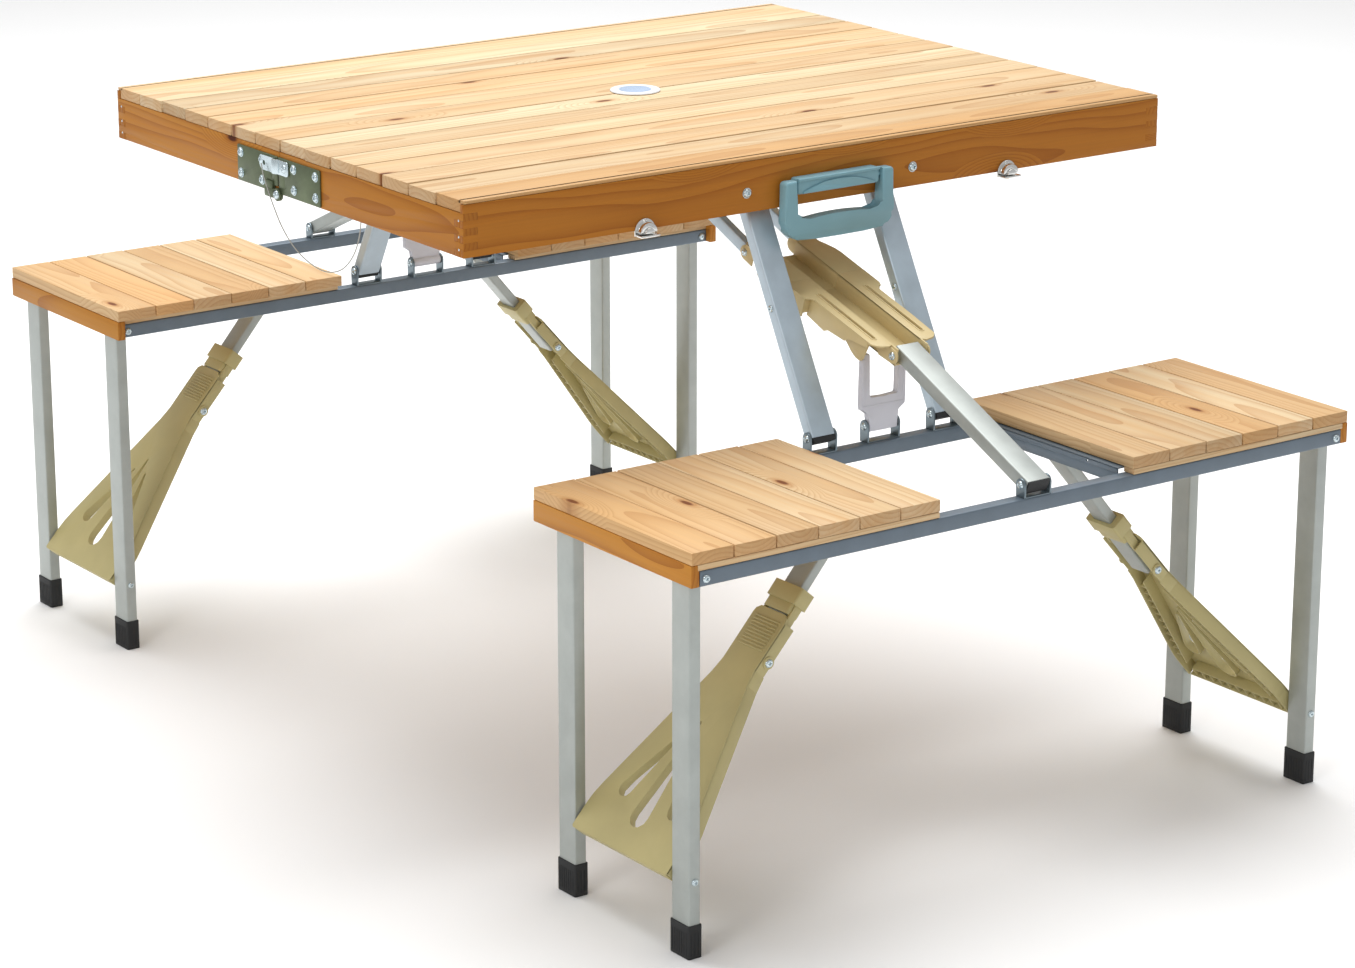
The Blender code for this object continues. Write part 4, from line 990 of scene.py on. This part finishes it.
# ---------------------------------------------------------------- hinges, lock tabs and latches
def hinge(end, hand):
    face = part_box(f"hinge_leaf_front_{hand}")[1 if end < 0 else 0].x
    fold = pivot("table_fold")
    top_z = fold.z + 0.0380

    def flat(x, low_z=0.0):
        return Matrix(((0, 0, end, face + end * x), (1, 0, 0, 0), (0, 1, 0, low_z), (0, 0, 0, 1)))

    for side, leaf in LEAVES:
        leaf_piece = piece(f"hinge_plate_{leaf}_{hand}", f"table_{leaf}", "zinc")
        near = 0.0009 if side < 0 else 0.0078
        ys = sorted((side * near, side * 0.080))
        sheet = rounded((ys[0], fold.z + 0.001), (ys[1], top_z), 0.0015)
        leaf_piece.add(prism(sheet, 0, 0.0018, 0.0005), flat(0))
        ys = sorted((side * 0.0009, side * 0.0120))
        fold_strip = rounded((ys[0], fold.z + 0.0080), (ys[1], top_z), 0.0012)
        leaf_piece.add(prism(fold_strip, 0.0002, 0.0020, 0.0006), flat(0))
        eye = lathe([(0, 0), (0.0062, 0), (0.0065, 0.0004), (0.0065, 0.0016), (0.0060, 0.0020),
                     (0, 0.0020)], 32)
        leaf_piece.add(eye, axes((face + end * (0 if side < 0 else 0.0023), 0, fold.z), Z, X * end))
        if side > 0:
            strap = rounded((0.0, fold.z - 0.0045), (0.0240, fold.z + 0.0050), 0.0020)
            leaf_piece.add(prism(strap, 0.0023, 0.0043, 0.0006), flat(0))
            joggle = block((0.0085, fold.z + 0.0010, 0.0010), (0.0225, fold.z + 0.0120, 0.0040), 0.0008)
            leaf_piece.add(joggle, flat(0))
        leaf_piece.finish(f"hinge_leaf_{leaf}_{hand}")
        heads = piece(f"hinge_screws_{leaf}_{hand}", f"table_{leaf}", "bright_zinc")
        for y in (0.0310, 0.0725):
            for z in (0.0095, 0.0305):
                tilt = Y + Z * chance.uniform(-1, 1)
                place = axes((face + end * 0.0018, side * y, fold.z + z), tilt, X * end)
                heads.add(lathe([(0, 0), (0.0050, 0), (0.0050, 0.0004), (0, 0.0004)], 24), place)
                heads.add(pan_screw(0.0040), place @ Matrix.Translation((0, 0, 0.0003)))
        if side > 0:
            heads.add(rivet(0.0046), axes((face + end * 0.0043, 0, fold.z), Z, X * end))
        heads.finish()
    low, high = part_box(f"lock_tab_{hand}")
    middle, half = (low.z + high.z) / 2, (high.z - low.z) / 2
    tab = piece(f"lock_plate_{hand}", f"lock_tab_{hand}", "bright_zinc")
    hole_y, inner = high.y - 0.0095, abs(low.x if end > 0 else high.x) - abs(face)
    nose = [(0.0040, middle - half), (high.y - half, middle - half),
            *arc((high.y - half, middle), half, -90, 90, 10), (0.0040, middle + half)]
    tab.add(prism(nose, inner, inner + 0.0013, 0.0004, [arc((hole_y, middle), 0.0025, 0, 330, 11)]), flat(0))
    tab.add(prism(rounded((low.y, low.z), (0.0005, high.z), 0.0030), inner, inner + 0.0013, 0.0004), flat(0))
    bend = [(-0.0020, inner), (0.0005, inner + 0.0026), (0.0040, inner + 0.0029), (0.0068, inner),
            (0.0068, inner + 0.0013), (0.0045, inner + 0.0040), (0.0000, inner + 0.0038),
            (-0.0035, inner + 0.0013)]
    tab.add(prism(bend, low.z + 0.0002, high.z - 0.0002, 0.0003),
            Matrix(((0, end, 0, face), (1, 0, 0, 0), (0, 0, 1, 0), (0, 0, 0, 1))))
    tab.add(rivet(0.0042), axes((face + end * (inner + 0.0013), -0.0150, middle), Z, X * end))
    tab.finish(f"lock_tab_{hand}")


def latch(hand):
    node = f"latch_{hand}"
    low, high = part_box(node)
    x, face, floor_z = (low.x + high.x) / 2, high.y, low.z
    hook = piece(f"latch_hook_{hand}", node, "chrome")
    flat = Matrix(((1, 0, 0, x), (0, 0, -1, face), (0, 1, 0, floor_z), (0, 0, 0, 1)))
    base = [(-0.0118, 0.0004), (0.0118, 0.0004), *arc((0, 0.0052), 0.0118, 0, 180, 16)]
    hook.add(prism(base, 0, 0.0014, 0.0004), flat)
    arch = [*arc((0, 0.0040), 0.0100, 0, 180, 16), *arc((0, 0.0040), 0.0066, 180, 0, 12)]
    hook.add(prism(arch, 0.0010, 0.0085, 0.0012), flat)
    shell = arc((0, 0.0036), 0.0056, 0, 180, 12)
    hook.add(prism(shell, 0.0010, 0.0105, 0.0011), flat)
    hook.add(block((x - 0.0108, face - 0.0120, floor_z),
                   (x + 0.0108, face - 0.0002, floor_z + 0.0024), 0.0008))
    hook.add(rivet(0.0022), flat @ Matrix.Translation((0, 0.0146, 0.0012)))
    hook.finish(node)
    node = f"latch_keeper_{hand}"
    low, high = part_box(node)
    keeper = piece(f"keeper_plate_{hand}", "table_back", "chrome")
    flat = Matrix(((-1, 0, 0, x), (0, 0, 1, low.y), (0, 1, 0, low.z), (0, 0, 0, 1)))
    tall = high.z - low.z
    keeper.add(prism(rounded((-0.011, 0), (0.011, tall), 0.003), 0, 0.0014, 0.0004), flat)
    lip = [(0, 0), (0.0070, 0), (0.0070, 0.0036), (0.0056, 0.0036), (0.0052, 0.0016), (0, 0.0014)]
    keeper.add(prism(lip, -0.008, 0.008, 0.0004),
               Matrix(((0, 0, 1, x), (1, 0, 0, low.y), (0, 1, 0, low.z + 0.002), (0, 0, 0, 1))))
    for shift in (-0.006, 0.006):
        keeper.add(pan_screw(0.0028), flat @ Matrix.Translation((shift, tall - 0.0065, 0.0014)))
    keeper.finish(node)


# ---------------------------------------------------------------- handle and umbrella cap
def handle():
    axle = pivot("handle_swing")
    low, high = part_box("handle")
    half = high.x
    inner_edge = [(x / 1000, 0.5955 - 0.0030 * (x / 45) ** 2) for x in range(36, -1, -9)]
    right = [(0, low.z - 0.0004), (0.030, low.z - 0.0002),
             *arc((half - 0.021, low.z + 0.021), 0.021, -80, 0, 8),
             *arc((half - 0.004, high.z - 0.004), 0.004, 0, 90, 4), (0.0532, high.z), (0.0525, 0.604),
             *arc((0.0450, 0.6000), 0.0075, 0, -90, 5), *inner_edge]
    loop = right + [(-x, z) for x, z in right[-2:0:-1]]
    grip = piece("handle_grip", "handle", "teal_plastic")
    place = Matrix(((1, 0, 0, 0), (0, 0, -1, high.y), (0, 1, 0, 0), (0, 0, 0, 1)))
    grip.add(prism(loop, 0, high.y - low.y, 0.0028, segments=4), place)
    grip.finish("handle", sharp=50)
    low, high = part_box("handle_mount")
    mount = piece("handle_mount_block", "table_front", "teal_plastic")
    place = Matrix(((1, 0, 0, 0), (0, 0, -1, high.y), (0, 1, 0, 0), (0, 0, 0, 1)))
    body_half = 0.0505
    body = rounded((-body_half, low.z), (body_half, high.z), 0.0030)
    mount.add(prism(body, 0, 0.0130, 0.0018, segments=3), place)
    top_band = [(-body_half, high.z - 0.0030), (body_half, high.z - 0.0030), (body_half, high.z),
                (-body_half, high.z)]
    mount.add(prism(top_band, 0.0100, 0.0150, 0.0010, segments=3), place)
    turns = [math.radians(turn) for turn in range(15, 180, 15)]
    crown = [(0.0270 * math.cos(turn), low.z + 0.0070 + 0.0040 * math.sin(turn)) for turn in turns]
    brow = [(-0.0445, low.z + 0.0006), (0.0445, low.z + 0.0006), (0.0440, low.z + 0.0030),
            (0.0330, low.z + 0.0065), *crown, (-0.0330, low.z + 0.0065), (-0.0440, low.z + 0.0030)]
    mount.add(prism(brow, 0.0110, 0.0152, 0.0012, segments=3), place)
    mount.add(lathe([(0, -0.0615), (0.0024, -0.0615), (0.0024, 0.0615), (0, 0.0615)], 20), axes(axle, Z, X))
    mount.finish("handle_mount", sharp=50)


def umbrella_cap():
    low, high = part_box("umbrella_cap")
    rim, shank, top = high.x, high.x - 0.0050, high.z
    cap = piece("cap_ring", "table_front", "white_plastic")
    cap.add(lathe([(0, low.z), (shank, low.z), (shank, top - 0.0020), (rim - 0.0003, top - 0.0019),
                   (rim, top - 0.0014), (rim - 0.0008, top - 0.0004), (rim - 0.0040, top),
                   (rim - 0.0085, top - 0.0002), (rim - 0.0094, top - 0.0010), (0, top - 0.0010)], 64))
    cap.finish("umbrella_cap")
    centre = piece("cap_centre", "table_front", "white_plastic", "cap_blue")
    centre.add(lathe([(0, top - 0.0010), (rim - 0.0098, top - 0.0010), (rim - 0.0100, top - 0.0002),
                      (rim - 0.0112, top), (0, top + 0.0002)], 48))
    centre.finish()


def rim_fasteners(side, leaf):
    low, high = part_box(f"table_rim_{leaf}")
    far = side * abs(low.y if side < 0 else high.y)
    screws = piece(f"rim_screws_{leaf}", f"table_{leaf}", "bright_zinc")
    for end, _ in HANDS:
        place = axes((end * 0.103, far, low.z + 0.0195), X + Z * 0.5 * end, Y * side)
        screws.add(lathe([(0, 0), (0.0052, 0), (0.0052, 0.0005), (0, 0.0005)], 24), place)
        screws.add(pan_screw(0.0045), place @ Matrix.Translation((0, 0, 0.0004)))
        for share in (0.16, 0.45, 0.82):
            z = low.z + (high.z - low.z) * share
            screws.add(lathe([(0, 0), (0.0011, 0), (0.0010, 0.0002), (0, 0.0003)], 12),
                       axes((end * high.x, far - side * 0.008, z), Z, X * end))
    screws.finish()


# ---------------------------------------------------------------- making everything
stand_camera()
light_studio()
make_tether()
handle()
umbrella_cap()
for end, hand in HANDS:
    hinge(end, hand)
    latch(hand)
for side, leaf in LEAVES:
    table_boards(side, leaf)
    rim_boards(side, leaf)
    rim_fasteners(side, leaf)
    bench_metal(side, leaf)
    a_legs(leaf)
    strut(leaf)
    arms(leaf)
    link(side, leaf)
    bracket(side, leaf)
    for end, hand in HANDS:
        seat_boards(side, leaf, end, hand)
        legs(side, leaf, hand)
        brace_tube(leaf, hand)
        brace_plate(leaf, end, hand)

for _, leaf in LEAVES:
    for slot in frame["nodes"][f"pivot_plate_{leaf}"].material_slots:
        slot.material = LOOKS["rail_steel"]

floor_mesh = bpy.data.meshes.new("studio_floor")
floor_mesh.from_pydata([(-30, -30, 0), (30, -30, 0), (30, 30, 0), (-30, 30, 0)], [], [(0, 1, 2, 3)])
floor = bpy.data.objects.new("studio_floor", floor_mesh)
bpy.context.scene.collection.objects.link(floor)
paper = Look("studio_paper", 0.9)
clouds = paper.noise(paper.place, 0.6)
paper.set("Base Color", paper.mix(clouds, (0.955, 0.955, 0.955, 1), (0.975, 0.975, 0.975, 1)))
floor_mesh.materials.append(paper.material)
